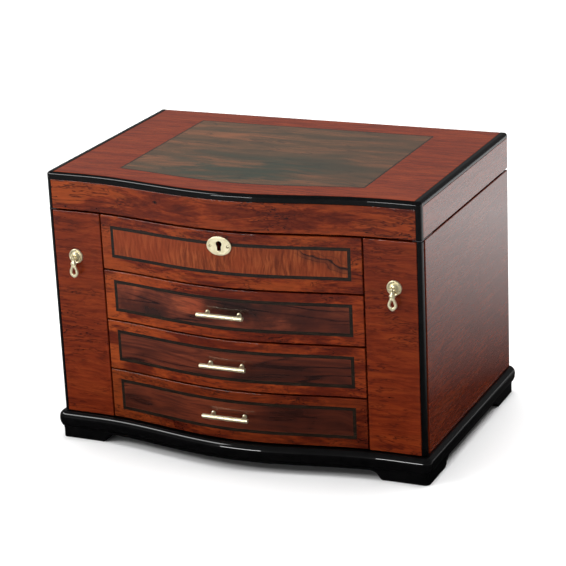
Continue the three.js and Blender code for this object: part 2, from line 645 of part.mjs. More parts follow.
/** The rail of necklace hooks on the back of a door. */
function makeHookRail(label, side) {
  const low = 170;
  const front = FRONT_BACK + GAP;
  const rail = block([side * 150, side * 187], [front, front + 2], [low, low + 6]);
  const hooks = [0, 1, 2, 3, 4].flatMap((index) => {
    const x = side * (151 + index * 8.5);
    return [
      block([x, x + side * 2], [front + 1.5, front + 13], [low + 1, low + 2.8]),
      block([x, x + side * 2], [front + 11.2, front + 13], [low + 1, low + 6.5]),
    ];
  });
  return piece(`door_hook_rail_${label}`, join([rail, ...hooks]), brass);
}

function makeDoor(label, side) {
  const group = new THREE.Group();
  const low = PLINTH_TOP + DOOR_LIFT;
  const inner = side * (COLUMN_HALF + FRONT_SEAM / 2);
  const outer = side * (PIVOT_X - GAP);
  const panel = frontBlock(inner, outer, FRONT_BACK, low, RIM).subtract(topSocket(side));
  group.add(piece(`door_panel_${label}`, panel, bubinga));
  group.add(makeStile(label, side, low));
  group.add(makePivotPlate(label, side));
  group.add(makeRosette(label, side));
  group.add(makeDrop(label, side));
  group.add(makeHookRail(label, side));
  return group;
}

// ---- Drawers ----

/** A straight bar pull on two posts. */
function makePull(label, z) {
  const y = frontY(0) - PULL_STANDOFF;
  const half = PULL_LENGTH / 2;
  const bar = barX(PULL_RADIUS, -half + PULL_RADIUS, half - PULL_RADIUS, y, z, 12);
  const parts = [bar];
  for (const side of [-1, 1]) {
    const end = new THREE.SphereGeometry(PULL_RADIUS, 12, 6).rotateZ(Math.PI / 2);
    parts.push(solid(end.translate(side * (half - PULL_RADIUS), y, z)));
    const face = frontY(PULL_POST_X) - GAP;
    parts.push(barY(1.5, side * PULL_POST_X, y, face - 0.5, z, 10));
    parts.push(barY(2.6, side * PULL_POST_X, face - 1.2, face, z, 12));
  }
  return piece(`drawer_pull_${label}`, join(parts), brass);
}

function makeDrawer(label, base) {
  const group = new THREE.Group();
  const inlayLow = (DRAWER_PITCH - INLAY_HEIGHT) / 2;
  const inlayHigh = inlayLow + INLAY_HEIGHT;
  const recess = frontBand(INLAY_HALF + GAP, 1, -INLAY_DEPTH - GAP, inlayLow - GAP, inlayHigh + GAP);
  const front = frontBlock(
    -FRONT_HALF, FRONT_HALF, FRONT_BACK, FRONT_SEAM / 2, DRAWER_PITCH - FRONT_SEAM / 2).subtract(recess);
  group.add(piece(`drawer_front_${label}`, front, bubinga));
  const inlay = frontBand(INLAY_HALF, 0, -INLAY_DEPTH, inlayLow, inlayHigh);
  group.add(piece(`drawer_inlay_${label}`, inlay, burl));
  const boxFront = FRONT_BACK + GAP;
  const outer = block([-DRAWER_BOX_HALF, DRAWER_BOX_HALF], [boxFront, DRAWER_BOX_REAR],
    [DRAWER_BOX_LOW, DRAWER_BOX_HIGH]);
  const innerHalf = DRAWER_BOX_HALF - DRAWER_WALL;
  const hollow = block([-innerHalf, innerHalf], [boxFront + DRAWER_WALL, DRAWER_BOX_REAR - DRAWER_WALL],
    [DRAWER_BOX_LOW + DRAWER_BOTTOM, DRAWER_BOX_HIGH + 1]);
  group.add(piece(`drawer_box_${label}`, outer.subtract(hollow), lining));
  group.add(makePull(label, DRAWER_PITCH / 2));
  group.position.z = base;
  return group;
}

// ---- Assembly ----

const armoire = new THREE.Group();
armoire.add(makeCarcase());
armoire.add(makeLock());
armoire.add(makeTrayFittings());
armoire.add(makeLid());
armoire.add(makeLidHinges());
for (const [label, side] of Object.entries(SIDES)) {
  armoire.add(makeDoor(label, side));
}
['lower', 'middle', 'upper'].forEach((label, index) => {
  armoire.add(makeDrawer(label, DRAWER_BASE + index * DRAWER_PITCH));
});

// The pulls reach furthest forward and the plinth furthest back, and the origin stands midway between them.
const frontReach = frontY(0) - PULL_STANDOFF - PULL_RADIUS;
const rearReach = HALF_DEPTH + MOULDING_OUT;
armoire.position.y = -(frontReach + rearReach) / 2;

export default armoire;
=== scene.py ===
"""Jewelry armoire: the finished look of a tabletop jewelry chest, built around its CAD frame. Metres."""
import json
import math

import bmesh
import bpy
from mathutils import Matrix, Vector


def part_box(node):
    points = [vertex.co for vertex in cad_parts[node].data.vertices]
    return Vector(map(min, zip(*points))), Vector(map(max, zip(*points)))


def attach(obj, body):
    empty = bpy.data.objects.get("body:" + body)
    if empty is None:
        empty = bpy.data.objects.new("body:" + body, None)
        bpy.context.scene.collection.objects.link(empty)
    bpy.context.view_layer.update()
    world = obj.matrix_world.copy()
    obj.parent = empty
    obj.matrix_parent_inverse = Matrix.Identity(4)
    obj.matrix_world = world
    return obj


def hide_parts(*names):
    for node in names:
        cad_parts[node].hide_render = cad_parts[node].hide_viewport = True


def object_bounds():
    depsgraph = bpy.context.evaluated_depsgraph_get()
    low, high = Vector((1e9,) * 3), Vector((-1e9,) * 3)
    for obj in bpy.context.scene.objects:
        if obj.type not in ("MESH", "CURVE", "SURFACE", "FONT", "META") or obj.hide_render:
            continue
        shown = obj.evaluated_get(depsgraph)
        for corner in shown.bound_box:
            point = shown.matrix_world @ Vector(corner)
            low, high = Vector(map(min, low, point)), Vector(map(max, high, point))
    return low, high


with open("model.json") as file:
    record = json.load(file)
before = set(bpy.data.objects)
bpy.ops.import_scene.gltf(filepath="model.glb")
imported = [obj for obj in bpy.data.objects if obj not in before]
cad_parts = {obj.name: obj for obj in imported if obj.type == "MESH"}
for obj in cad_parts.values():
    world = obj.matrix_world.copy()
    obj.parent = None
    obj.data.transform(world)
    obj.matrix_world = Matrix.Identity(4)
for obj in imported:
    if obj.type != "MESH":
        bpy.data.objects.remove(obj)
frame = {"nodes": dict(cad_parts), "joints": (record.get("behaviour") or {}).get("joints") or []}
CAD_LOW, CAD_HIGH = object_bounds()

MM = 0.001
QUARTER = math.pi / 2
SIDES = {"left": -1, "right": 1}
DRAWERS = ("lower", "middle", "upper")

# ---- Places taken from the frame ----

PLINTH_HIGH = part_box("base_plinth")[1]
STILE_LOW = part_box("door_stile_right")[0]
RAIL_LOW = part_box("lid_front_rail")[0]
SIDE_LOW, SIDE_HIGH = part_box("side_panel_right")

HALF_WIDTH = SIDE_HIGH.x
FLAT_FRONT = STILE_LOW.y
REAR = SIDE_HIGH.y
SWELL = FLAT_FRONT - RAIL_LOW.y
SWELL_HALF = 167 * MM             # past this distance from the middle the front is flat
RIM = SIDE_HIGH.z
PLINTH_TOP = PLINTH_HIGH.z
LID_BOTTOM = RAIL_LOW.z
LID_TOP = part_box("lid_edging")[1].z
MOULDING_OUT = PLINTH_HIGH.x - HALF_WIDTH
APRON_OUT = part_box("foot_front_right")[1].x - HALF_WIDTH
MIDDLE_Y = (FLAT_FRONT + REAR) / 2

# ---- Sizes that several pieces share ----

EDGE = 0.7 * MM                   # rounding of the lacquered edges
STRING_WIDTH = 3.4 * MM           # black line round each figured panel in the front
VENEER = 0.8 * MM                 # thickness of the inlaid sheets
CLEAR = 0.3 * MM                  # room left between pieces that nearly touch


# ---- Meshes ----

def front_y(x, outward=0.0):
    """Y of the serpentine front at x, moved outward."""
    swell = (1 + math.cos(math.pi * min(abs(x) / SWELL_HALF, 1))) / 2
    return FLAT_FRONT - SWELL * swell - outward


def face_at(outward):
    """The serpentine front moved outward, as a function of x."""
    return lambda x: front_y(x, outward)


def spread(low, high, step):
    """Evenly spaced values from low to high, about a step apart."""
    count = max(2, math.ceil(abs(high - low) / step))
    return [low + (high - low) * i / count for i in range(count + 1)]


def angles(count):
    """Evenly spaced angles round a full turn."""
    return [2 * math.pi * i / count for i in range(count)]


def new_object(name, data):
    """An object of the scene that holds a mesh, a curve, a lamp or a camera."""
    made = bpy.data.objects.new(name, data)
    bpy.context.scene.collection.objects.link(made)
    return made


def evaluated(holder):
    """An object's mesh as its modifiers leave it."""
    bpy.context.view_layer.update()
    graph = bpy.context.evaluated_depsgraph_get()
    return bpy.data.meshes.new_from_object(holder.evaluated_get(graph))


def mesh_from(bm):
    """The bmesh as a mesh with its faces turned outward."""
    bmesh.ops.recalc_face_normals(bm, faces=bm.faces)
    mesh = bpy.data.meshes.new("shape")
    bm.to_mesh(mesh)
    bm.free()
    return mesh


def loft(rings):
    """A closed solid through rings of equally many points, capped at both ends."""
    bm = bmesh.new()
    loops = [[bm.verts.new(p) for p in ring] for ring in rings]
    size = len(rings[0])
    for a, b in zip(loops, loops[1:]):
        for i in range(size):
            j = (i + 1) % size
            bm.faces.new((a[i], a[j], b[j], b[i]))
    bm.faces.new(loops[0])
    bm.faces.new(loops[-1])
    return mesh_from(bm)


def prism(outline, low, high):
    """A plan outline of (x, y) points raised between two levels."""
    return loft([[(x, y, z) for x, y in outline] for z in (low, high)])


def block(low, high):
    """A box between two corners."""
    (x0, y0, z0), (x1, y1, z1) = low, high
    return prism([(x0, y0), (x1, y0), (x1, y1), (x0, y1)], z0, z1)


def along_front(x_low, x_high, section):
    """A section of (y function, z) points carried along X, so that its front can follow the serpentine."""
    return loft([[(x, y(x), z) for y, z in section] for x in spread(x_low, x_high, 3 * MM)])


def slab(x_low, x_high, front, back, low, high):
    """A board or a sheet between two y functions and two levels."""
    return along_front(x_low, x_high, [(front, low), (front, high), (back, high), (back, low)])


def front_board(low, high):
    """A board that fills a box, with the serpentine face in front and a flat back."""
    return slab(low.x, high.x, front_y, lambda x: high.y, low.z, high.z)


def front_sheet(x_low, x_high, low, high):
    """A thin sheet that lies in the serpentine face."""
    return slab(x_low, x_high, front_y, face_at(-VENEER), low, high)


def arc(cx, cy, radius, start):
    """Points of a quarter turn, counterclockwise from a start in quarters."""
    turns = [(start + i / 8) * QUARTER for i in range(9)]
    return [(cx + radius * math.cos(t), cy + radius * math.sin(t)) for t in turns]


def plan_outline(outward, front_radius, rear_radius, rear=REAR):
    """The body's plan outline moved outward, with rounded corners, counterclockwise from above."""
    half = HALF_WIDTH + outward
    front = FLAT_FRONT - outward
    back = rear + outward
    xs = spread(-half + front_radius + MM, half - front_radius - MM, 3 * MM)
    return [
        *arc(-half + front_radius, front + front_radius, front_radius, 2),
        *[(x, front_y(x, outward)) for x in xs],
        *arc(half - front_radius, front + front_radius, front_radius, 3),
        *arc(half - rear_radius, back - rear_radius, rear_radius, 0),
        *arc(-half + rear_radius, back - rear_radius, rear_radius, 1),
    ]


def revolve(profile, steps):
    """A turned solid about Z from (radius, height) points that start and end on the axis."""
    bm = bmesh.new()
    bottom = bm.verts.new((0, 0, profile[0][1]))
    top = bm.verts.new((0, 0, profile[-1][1]))
    rings = []
    for radius, height in profile[1:-1]:
        points = [(radius * math.cos(t), radius * math.sin(t), height) for t in angles(steps)]
        rings.append([bm.verts.new(point) for point in points])
    for i in range(steps):
        j = (i + 1) % steps
        bm.faces.new((bottom, rings[0][j], rings[0][i]))
        bm.faces.new((top, rings[-1][i], rings[-1][j]))
        for a, b in zip(rings, rings[1:]):
            bm.faces.new((a[i], a[j], b[j], b[i]))
    return mesh_from(bm)


def turned(profile, steps):
    """A turned solid about Z, with its profile in millimetres."""
    return revolve([(radius * MM, height * MM) for radius, height in profile], steps)


def tube(points, radius, sides=8):
    """A round wire along a closed line of points in the plane z = 0."""
    bm = bmesh.new()
    rows = []
    count = len(points)
    for i, point in enumerate(points):
        ahead = Vector(points[(i + 1) % count]) - Vector(points[i - 1])
        across = Vector((ahead.y, -ahead.x, 0)).normalized() * radius
        upward = Vector((0, 0, radius))
        section = [Vector(point) + across * math.cos(s) + upward * math.sin(s) for s in angles(sides)]
        rows.append([bm.verts.new(corner) for corner in section])
    for i in range(count):
        a, b = rows[i], rows[(i + 1) % count]
        for k in range(sides):
            j = (k + 1) % sides
            bm.faces.new((a[k], a[j], b[j], b[k]))
    return mesh_from(bm)


def oval(half_x, half_y, steps):
    """Points of an ellipse in the plane z = 0."""
    return [(half_x * math.cos(t), half_y * math.sin(t), 0) for t in angles(steps)]


def cut_plate(loops, half_thickness, rounding):
    """A flat plate in X and Y from closed loops of points, the inner ones as holes, with rounded edges."""
    curve = bpy.data.curves.new("plate", "CURVE")
    curve.dimensions = "2D"
    curve.fill_mode = "BOTH"
    curve.extrude = half_thickness
    curve.bevel_depth = rounding
    curve.bevel_resolution = 3
    for points in loops:
        spline = curve.splines.new("POLY")
        spline.points.add(len(points) - 1)
        for corner, (x, y) in zip(spline.points, points):
            corner.co = (x, y, 0, 1)
        spline.use_cyclic_u = True
    holder = new_object("plate", curve)
    mesh = evaluated(holder)
    bpy.data.objects.remove(holder)
    bpy.data.curves.remove(curve)
    bm = bmesh.new()
    bm.from_mesh(mesh)
    bmesh.ops.remove_doubles(bm, verts=bm.verts, dist=1e-6)
    bpy.data.meshes.remove(mesh)
    return mesh_from(bm)


def moved(mesh, matrix):
    """The mesh, carried by a matrix."""
    mesh.transform(matrix)
    return mesh


def posed(mesh, spot, axis, turn=QUARTER):
    """The mesh turned about an axis, then moved to a spot."""
    return moved(mesh, Matrix.Translation(spot) @ Matrix.Rotation(turn, 4, axis))


def joined(*meshes):
    """Several meshes as one."""
    bm = bmesh.new()
    for mesh in meshes:
        bm.from_mesh(mesh)
        bpy.data.meshes.remove(mesh)
    whole = bpy.data.meshes.new("shape")
    bm.to_mesh(whole)
    bm.free()
    return whole


def combined(mesh, other, operation):
    """The exact boolean of two meshes."""
    holder = new_object("holder", mesh)
    tool = new_object("tool", other)
    step = holder.modifiers.new("boolean", "BOOLEAN")
    step.operation = operation
    step.solver = "EXACT"
    step.use_self = True
    step.object = tool
    result = evaluated(holder)
    for spent in (holder, tool):
        bpy.data.objects.remove(spent)
    for spent in (mesh, other):
        bpy.data.meshes.remove(spent)
    return result


def cut(mesh, tool):
    """The mesh with another mesh taken out of it."""
    return combined(mesh, tool, "DIFFERENCE")


def softened(mesh, width, segments=3):
    """The mesh with its sharp edges rounded."""
    holder = new_object("holder", mesh)
    add_bevel(holder, width, segments)
    result = evaluated(holder)
    bpy.data.objects.remove(holder)
    bpy.data.meshes.remove(mesh)
    return result


def add_bevel(piece, width, segments):
    """A modifier that rounds a piece's sharp edges."""
    bevel = piece.modifiers.new("edges", "BEVEL")
    bevel.width = width
    bevel.segments = segments
    bevel.limit_method = "ANGLE"
    bevel.angle_limit = math.radians(35)
    bevel.use_clamp_overlap = True


def smooth(piece, angle):
    """Smooth shading with true flats: sharp edges by angle, then face-weighted normals."""
    piece.data.polygons.foreach_set("use_smooth", [True] * len(piece.data.polygons))
    piece.data.set_sharp_from_angle(angle=math.radians(angle))
    weighted = piece.modifiers.new("normals", "WEIGHTED_NORMAL")
    weighted.keep_sharp = True


def place(name, mesh, material, body, slot, *nodes, smooth_angle=35):
    """A finished piece with its material, that rides on a body and stands for CAD nodes. The slot is not
    used.
    """
    mesh.name = name
    mesh.materials.clear()
    mesh.materials.append(material)
    piece = new_object(name, mesh)
    smooth(piece, smooth_angle)
    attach(piece, body)
    if nodes:
        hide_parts(*nodes)
    return piece


def dress(node, material, width=0.4 * MM, segments=2):
    """Gives a CAD node its material, and rounds its edges with modifiers."""
    piece = frame["nodes"][node]
    piece.data.materials.clear()
    piece.data.materials.append(material)
    weld = piece.modifiers.new("weld", "WELD")
    weld.merge_threshold = 0.001 * MM
    flat = piece.modifiers.new("flats", "DECIMATE")
    flat.decimate_type = "DISSOLVE"
    flat.angle_limit = math.radians(1)
    add_bevel(piece, width, segments)
    for polygon in piece.data.polygons:
        polygon.use_smooth = True
    weighted = piece.modifiers.new("normals", "WEIGHTED_NORMAL")
    weighted.keep_sharp = True


# ---- Materials ----

class Look:
    """A procedural material on one Principled shader, with short calls for its nodes."""

    def __init__(self, name, **values):
        self.material = bpy.data.materials.new(name)
        self.material.use_nodes = True
        self.tree = self.material.node_tree
        self.tree.nodes.clear()
        self.shader = self.node("ShaderNodeBsdfPrincipled")
        output = self.node("ShaderNodeOutputMaterial")
        self.tree.links.new(self.shader.outputs["BSDF"], output.inputs["Surface"])
        for key, value in values.items():
            self.shader.inputs[key.replace("_", " ")].default_value = value
        self.place = self.node("ShaderNodeTexCoord").outputs["Object"]
        self.colour = None

    def node(self, kind, inputs=None, **settings):
        """A node with its settings, and with links or values on its inputs."""
        made = self.tree.nodes.new(kind)
        for key, value in settings.items():
            setattr(made, key, value)
        for key, value in (inputs or {}).items():
            if isinstance(value, bpy.types.NodeSocket):
                self.tree.links.new(value, made.inputs[key])
            else:
                made.inputs[key].default_value = value
        return made

    def math(self, operation, a, b=0.0):
        return self.node("ShaderNodeMath", {0: a, 1: b}, operation=operation).outputs[0]

    def times(self, a, b):
        return self.math("MULTIPLY", a, b)

    def vector(self, operation, a, b):
        return self.node("ShaderNodeVectorMath", {0: a, 1: b}, operation=operation).outputs[0]

    def length(self, vector):
        return self.node("ShaderNodeVectorMath", {0: vector}, operation="LENGTH").outputs["Value"]

    def part(self, vector, axis):
        """One coordinate of a vector."""
        return self.node("ShaderNodeSeparateXYZ", {0: vector}).outputs[axis]

    def stretch(self, vector, scale, shift=(0, 0, 0)):
        """The vector moved, then scaled."""
        return self.vector("MULTIPLY", self.vector("ADD", vector, shift), scale)

    def noise(self, vector, scale, detail=3.0, rough=0.5, shift=(0, 0, 0)):
        """A noise over the vector moved, then scaled."""
        inputs = {
            "Vector": self.stretch(vector, scale, shift), "Scale": 1.0, "Detail": detail, "Roughness": rough}
        return self.node("ShaderNodeTexNoise", inputs).outputs["Fac"]

    def warp(self, vector, guide, scale, amount, shift=(0, 0, 0)):
        """The vector pushed about by a noise over a guide vector moved, then scaled."""
        inputs = {"Vector": self.stretch(guide, scale, shift), "Scale": 1.0, "Detail": 2.0}
        push = self.node("ShaderNodeTexNoise", inputs).outputs["Color"]
        centred = self.vector("SUBTRACT", push, (0.5, 0.5, 0.5))
        return self.vector("ADD", vector, self.vector("MULTIPLY", centred, amount))

    def span(self, value, low, high, out_low=0.0, out_high=1.0):
        """The value eased from one range into another."""
        inputs = {"Value": value, "From Min": low, "From Max": high, "To Min": out_low, "To Max": out_high}
        return self.node("ShaderNodeMapRange", inputs, interpolation_type="SMOOTHSTEP").outputs["Result"]

    def veins(self, value, width, level=0.5):
        """1 on the thin contour lines where a noise crosses a level, 0 away from them."""
        away = self.math("ABSOLUTE", self.math("SUBTRACT", value, level))
        return self.span(away, 0.0, width, 1.0, 0.0)

    def contours(self, value, count, width, strength=1.0):
        """Many thin lines across a noise, evenly spaced in its value."""
        folded = self.math("PINGPONG", self.times(value, count), 0.5)
        return self.span(folded, 0.0, width, strength, 0.0)

    def ramp(self, value, stops):
        """A colour for each stretch of a value."""
        made = self.node("ShaderNodeValToRGB", {"Fac": value})
        elements = made.color_ramp.elements
        while len(elements) < len(stops):
            elements.new(0.5)
        for element, (position, colour) in zip(elements, stops):
            element.position = position
            element.color = (*colour, 1)
        return made.outputs["Color"]

    def between(self, value, first, second):
        """A colour that runs from one to another over the middle of a noise."""
        return self.ramp(value, [(0.3, first), (0.7, second)])

    def mix(self, share, a, b, blend="MIX"):
        """Two colours mixed. The share and the colours are a Mix node's inputs 0, 6 and 7."""
        values = {0: share, 6: a, 7: b}
        inputs = {key: (*value, 1) if isinstance(value, tuple) else value for key, value in values.items()}
        return self.node("ShaderNodeMix", inputs, data_type="RGBA", blend_type=blend).outputs[2]

    def stain(self, share, colour):
        """Mixes a share of another colour into the colour so far."""
        self.colour = self.mix(share, self.colour, colour)

    def join(self, socket, name):
        self.tree.links.new(socket, self.shader.inputs[name])

    def bump(self, height, strength, distance):
        inputs = {"Height": height, "Strength": strength, "Distance": distance}
        self.join(self.node("ShaderNodeBump", inputs).outputs["Normal"], "Normal")

    def polish(self, value, first, second):
        """A roughness that runs from one to another over the middle of a noise."""
        self.join(self.span(value, 0.3, 0.7, first, second), "Roughness")

    def finished(self):
        """The material, with its colour joined to the shader."""
        self.join(self.colour, "Base Color")
        return self.material


def lacquered(name):
    """Wood under a thick, clear gloss lacquer."""
    return Look(
        name, Roughness=0.42, IOR=1.45, Specular_IOR_Level=0.03,
        Coat_Weight=1.0, Coat_Roughness=0.035, Coat_IOR=1.5)


def bubinga(
        name, grain="x", seed=0.0, glow=0.0, figure=1.0, depth=1.0, painted_left_light=0.0, calm=0.0, painted_left_end_light=0.0, knot=None):
    """Red-brown veneer: fine streaks along the grain, wavy dark growth lines and pores.

    Glow sets how strongly orange and dark patches show, figure how strong the growth lines are, and depth
    how light the wood is. Two settings are painted light on the left end, as a lamp on the left lights it:
    one thins the orange towards the middle and right, the other adds orange at the left end. Calm evens the
    streaks out, and knot is the (x, z) of one small knot."""
    look = lacquered(name)
    here = look.vector("ADD", look.place, (seed, 0.37 * seed, 0.61 * seed))

    def scaled(along, across):
        return tuple(along if axis == grain else across for axis in "xyz")

    def toned(*colour):
        return tuple(depth * part for part in colour)

    waved = look.warp(here, here, scaled(16, 42), (0.010, 0.010, 0.010))
    streak = look.noise(waved, scaled(24, 320), 6, 0.7)
    red = toned(0.132, 0.0155, 0.0028)
    look.colour = look.ramp(streak, [
        (0.37, toned(0.060, 0.0060, 0.0014)), (0.50, red), (0.63, toned(0.200, 0.0290, 0.0052))])
    look.stain(calm, red)
    patch = look.noise(waved, scaled(11, 60), 4, 0.6)
    across = look.part(look.place, "X")
    # Painted light: extra orange at the left end, where a lamp on the left lights the front.
    reach = look.math("ADD", patch, look.span(across, -0.16, -0.03, painted_left_end_light, 0.0))
    warm = look.span(reach, 0.48 - 0.05 * glow, 0.62 - 0.05 * glow, 0.0, 0.10 + 0.55 * glow)
    # Painted light: the orange thins towards the middle and right, away from the lamp on the left.
    warm = look.times(warm, look.span(across, -0.19, -0.02, 1.0, 1.0 - painted_left_light))
    look.stain(warm, toned(0.31, 0.060, 0.0095))
    look.stain(look.span(patch, 0.40, 0.50, 0.08 + 0.6 * glow, 0.0), toned(0.050, 0.0046, 0.0014))
    lines = look.noise(waved, scaled(10, 80), 4, 0.6)
    masked = look.span(look.noise(here, scaled(13, 30), shift=(3, 3, 3)), 0.36, 0.58)
    fine = look.times(look.contours(lines, 5.5, 0.12), look.span(masked, 0.0, 1.0, 0.2, 0.8))
    look.stain(look.times(fine, figure), toned(0.040, 0.0036, 0.0012))
    dark = look.times(look.veins(lines, 0.014), masked)
    look.stain(look.times(dark, 0.9 * figure), (0.014, 0.002, 0.001))
    if knot:
        bent = look.warp(look.place, here, (260, 260, 260), (0.004, 0.0, 0.003))
        near = look.length(look.stretch(bent, (0.7, 0, 1.3), (-knot[0], 0, -knot[1])))
        look.stain(look.span(near, 0.4 * MM, 3.2 * MM, 0.95, 0.0), (0.012, 0.002, 0.001))
    pores = look.noise(here, scaled(110, 1100), 2)
    look.stain(look.span(pores, 0.55, 0.72, 0.0, 0.32 - 0.4 * calm), (0.030, 0.004, 0.0015))
    look.polish(streak, 0.46, 0.38)
    look.bump(pores, 0.04, 0.02 * MM)
    return look.finished()


def walnut(name, seed=0.0, along=4, across=38, swirl=1.0, red=0.5, dark=(-0.03, 0.08, 0.4), tone=1.0):
    """Dark figured veneer: smoky bands that flow and swirl, fine streaks and reddish clearings.

    Dark gives where a painted shade on the right end starts and is full, and how deep it is: the right end is
    painted darker, as a lamp on the left leaves it in shade. Tone lightens the whole."""
    look = lacquered(name)
    here = look.vector("ADD", look.place, (seed, 0.53 * seed, 0.29 * seed))
    push = 0.045 * swirl
    flowing = look.warp(here, here, (9, 9, 16), (push, push, push))
    band = look.noise(flowing, (along, along, across), 5, 0.6)
    look.colour = look.ramp(band, [
        (0.37, (0.012, 0.0045, 0.0035)), (0.46, (0.034, 0.0075, 0.0040)),
        (0.55, (0.075, 0.0160, 0.0075)), (0.65, (0.150, 0.0340, 0.0130))])
    patch = look.noise(flowing, (9, 9, 20), shift=(5, 5, 5))
    look.stain(look.span(patch, 0.46, 0.62, 0.0, red), (0.165, 0.030, 0.011))
    streak = look.noise(flowing, (26, 26, 420), 5, 0.7)
    look.stain(look.span(streak, 0.46, 0.62, 0.0, 0.55), (0.016, 0.005, 0.004))
    # Painted shade: the right end is darkened, as the lamp on the left leaves it in shade.
    right = look.span(look.part(flowing, "X"), seed + dark[0], seed + dark[1], 0.0, dark[2])
    look.stain(right, (0.020, 0.0045, 0.0030))
    lazy = look.warp(here, here, (7, 7, 12), (0.0, 0.0, 0.022 * swirl), (2, 2, 2))
    flow = look.noise(lazy, (2.6, 2.6, 34), rough=0.45)
    broken = look.span(look.noise(here, (9, 9, 26), shift=(6, 6, 6)), 0.38, 0.6)
    look.stain(look.times(look.contours(flow, 7.0, 0.14, 0.85), broken), (0.005, 0.002, 0.002))
    look.colour = look.mix(1.0, look.colour, (tone, tone, tone), blend="MULTIPLY")
    look.polish(band, 0.48, 0.36)
    look.bump(streak, 0.03, 0.02 * MM)
    return look.finished()


def smoky(name, seed=0.0):
    """Brown figured veneer with fine streaks, a grey-green painted sheen swirling across its front half, and
    painted shade on its right end.
    """
    look = lacquered(name)
    here = look.vector("ADD", look.place, (seed, 0.4 * seed, 0.2 * seed))
    flowing = look.warp(here, here, (8, 13, 9), (0.05, 0.035, 0.02))
    smoke = look.noise(flowing, (6, 34, 20), 6, 0.65)
    look.colour = look.ramp(smoke, [
        (0.38, (0.062, 0.040, 0.024)), (0.47, (0.105, 0.054, 0.028)),
        (0.54, (0.150, 0.064, 0.031)), (0.64, (0.215, 0.078, 0.034))])
    # Painted sheen: a grey-green cloud over the front half, broken into wisps along the figure.
    painted_sheen_spot = look.stretch(look.place, (7.5, 12.5, 0), (-0.005, 0.055, 0))
    near = look.length(look.warp(painted_sheen_spot, here, (14, 22, 9), (0.9, 0.9, 0.0)))
    painted_sheen_wisps = look.noise(flowing, (12, 60, 20), 5, 0.65, shift=(2, 2, 2))
    painted_sheen_wisps = look.span(painted_sheen_wisps, 0.40, 0.56, 0.25, 1.0)
    look.stain(look.times(look.span(near, 0.3, 1.2, 1.0, 0.0), painted_sheen_wisps), (0.030, 0.040, 0.028))
    streak = look.noise(flowing, (14, 330, 300), 5, 0.7)
    look.stain(look.span(streak, 0.46, 0.60, 0.0, 0.5), (0.050, 0.032, 0.020))
    veins = look.veins(look.noise(flowing, (8, 34, 30), shift=(4, 4, 4)), 0.012)
    look.stain(look.times(veins, 0.5), (0.022, 0.02, 0.016))
    cells = look.node("ShaderNodeTexVoronoi", {"Vector": look.stretch(here, (11, 13, 11)), "Scale": 1.0})
    look.stain(look.span(cells.outputs["Distance"], 0.02, 0.035, 0.85, 0.0), (0.012, 0.009, 0.007))
    # Painted shade: the right end is darkened, as the lamp on the left leaves it in shade.
    look.stain(look.span(look.part(flowing, "X"), seed, seed + 0.12, 0.0, 0.35), (0.036, 0.026, 0.017))
    look.polish(smoke, 0.48, 0.36)
    return look.finished()


def fiddleback(name, seed=0.0):
    """Warm brown veneer with short upright ripples, and a dark vein that curls through its right end."""
    look = lacquered(name)
    here = look.vector("ADD", look.place, (seed, 0.0, 0.4 * seed))
    waved = look.warp(here, here, (30, 30, 30), (0.009, 0.009, 0.009))
    ripple = look.noise(waved, (340, 60, 46), 5, 0.65)
    look.colour = look.ramp(ripple, [
        (0.36, (0.085, 0.014, 0.004)), (0.50, (0.150, 0.027, 0.007)), (0.64, (0.240, 0.054, 0.014))])
    patch = look.noise(here, (18, 18, 22), shift=(2, 2, 2))
    look.stain(look.span(patch, 0.44, 0.62, 0.0, 0.5), (0.185, 0.026, 0.006))
    bent = look.warp(look.place, here, (44, 44, 60), (0.022, 0.0, 0.016), (7, 7, 7))
    across = look.part(bent, "X")
    start_x, start_z, drop = 80 * MM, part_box("lock_panel_inlay")[1].z - 5 * MM, 0.36
    climb = look.math("ADD", look.part(bent, "Z"), look.times(across, drop))
    above = look.math("SUBTRACT", climb, start_z + drop * start_x)
    begun = look.span(across, start_x - 14 * MM, start_x + 4 * MM)
    soot = look.times(look.span(above, -11 * MM, 0.0), look.span(above, 0.0, 1.5 * MM, 0.55, 0.0))
    look.stain(look.times(soot, begun), (0.046, 0.014, 0.008))
    for offset, width, share in ((0.0, 1.5 * MM, 0.95), (-5 * MM, 0.8 * MM, 0.7), (4 * MM, 0.6 * MM, 0.5)):
        vein = look.times(look.veins(above, width, level=offset), begun)
        look.stain(look.times(vein, share), (0.012, 0.005, 0.004))
    look.bump(ripple, 0.03, 0.02 * MM)
    return look.finished()


def ebony():
    """Black piano lacquer with a trace of haze."""
    look = Look(
        "black_lacquer", Roughness=0.3, IOR=1.5, Specular_IOR_Level=0.03,
        Coat_Weight=0.6, Coat_Roughness=0.03, Coat_IOR=1.5)
    haze = look.noise(look.place, (140, 140, 140), 4)
    look.colour = look.between(haze, (0.0012, 0.0012, 0.0014), (0.003, 0.0028, 0.003))
    return look.finished()


def stringing():
    """Thin black inlay line under lacquer, with faint grain."""
    look = lacquered("black_stringing")
    grain = look.noise(look.place, (60, 60, 900))
    look.colour = look.between(grain, (0.007, 0.004, 0.0025), (0.020, 0.012, 0.007))
    return look.finished()


def brass():
    """Pale brass with a soft polish: faint marks, and cloudy dulling."""
    look = Look("pale_brass", Metallic=0.82, Roughness=0.34)
    cloud = look.noise(look.place, (350, 350, 350), 4)
    marks = look.noise(look.place, (700, 700, 2500), 2)
    look.colour = look.between(cloud, (0.90, 0.80, 0.50), (0.98, 0.90, 0.64))
    look.join(look.span(cloud, 0.35, 0.7, 0.29, 0.38), "Roughness")
    look.bump(marks, 0.012, 0.01 * MM)
    return look.finished()


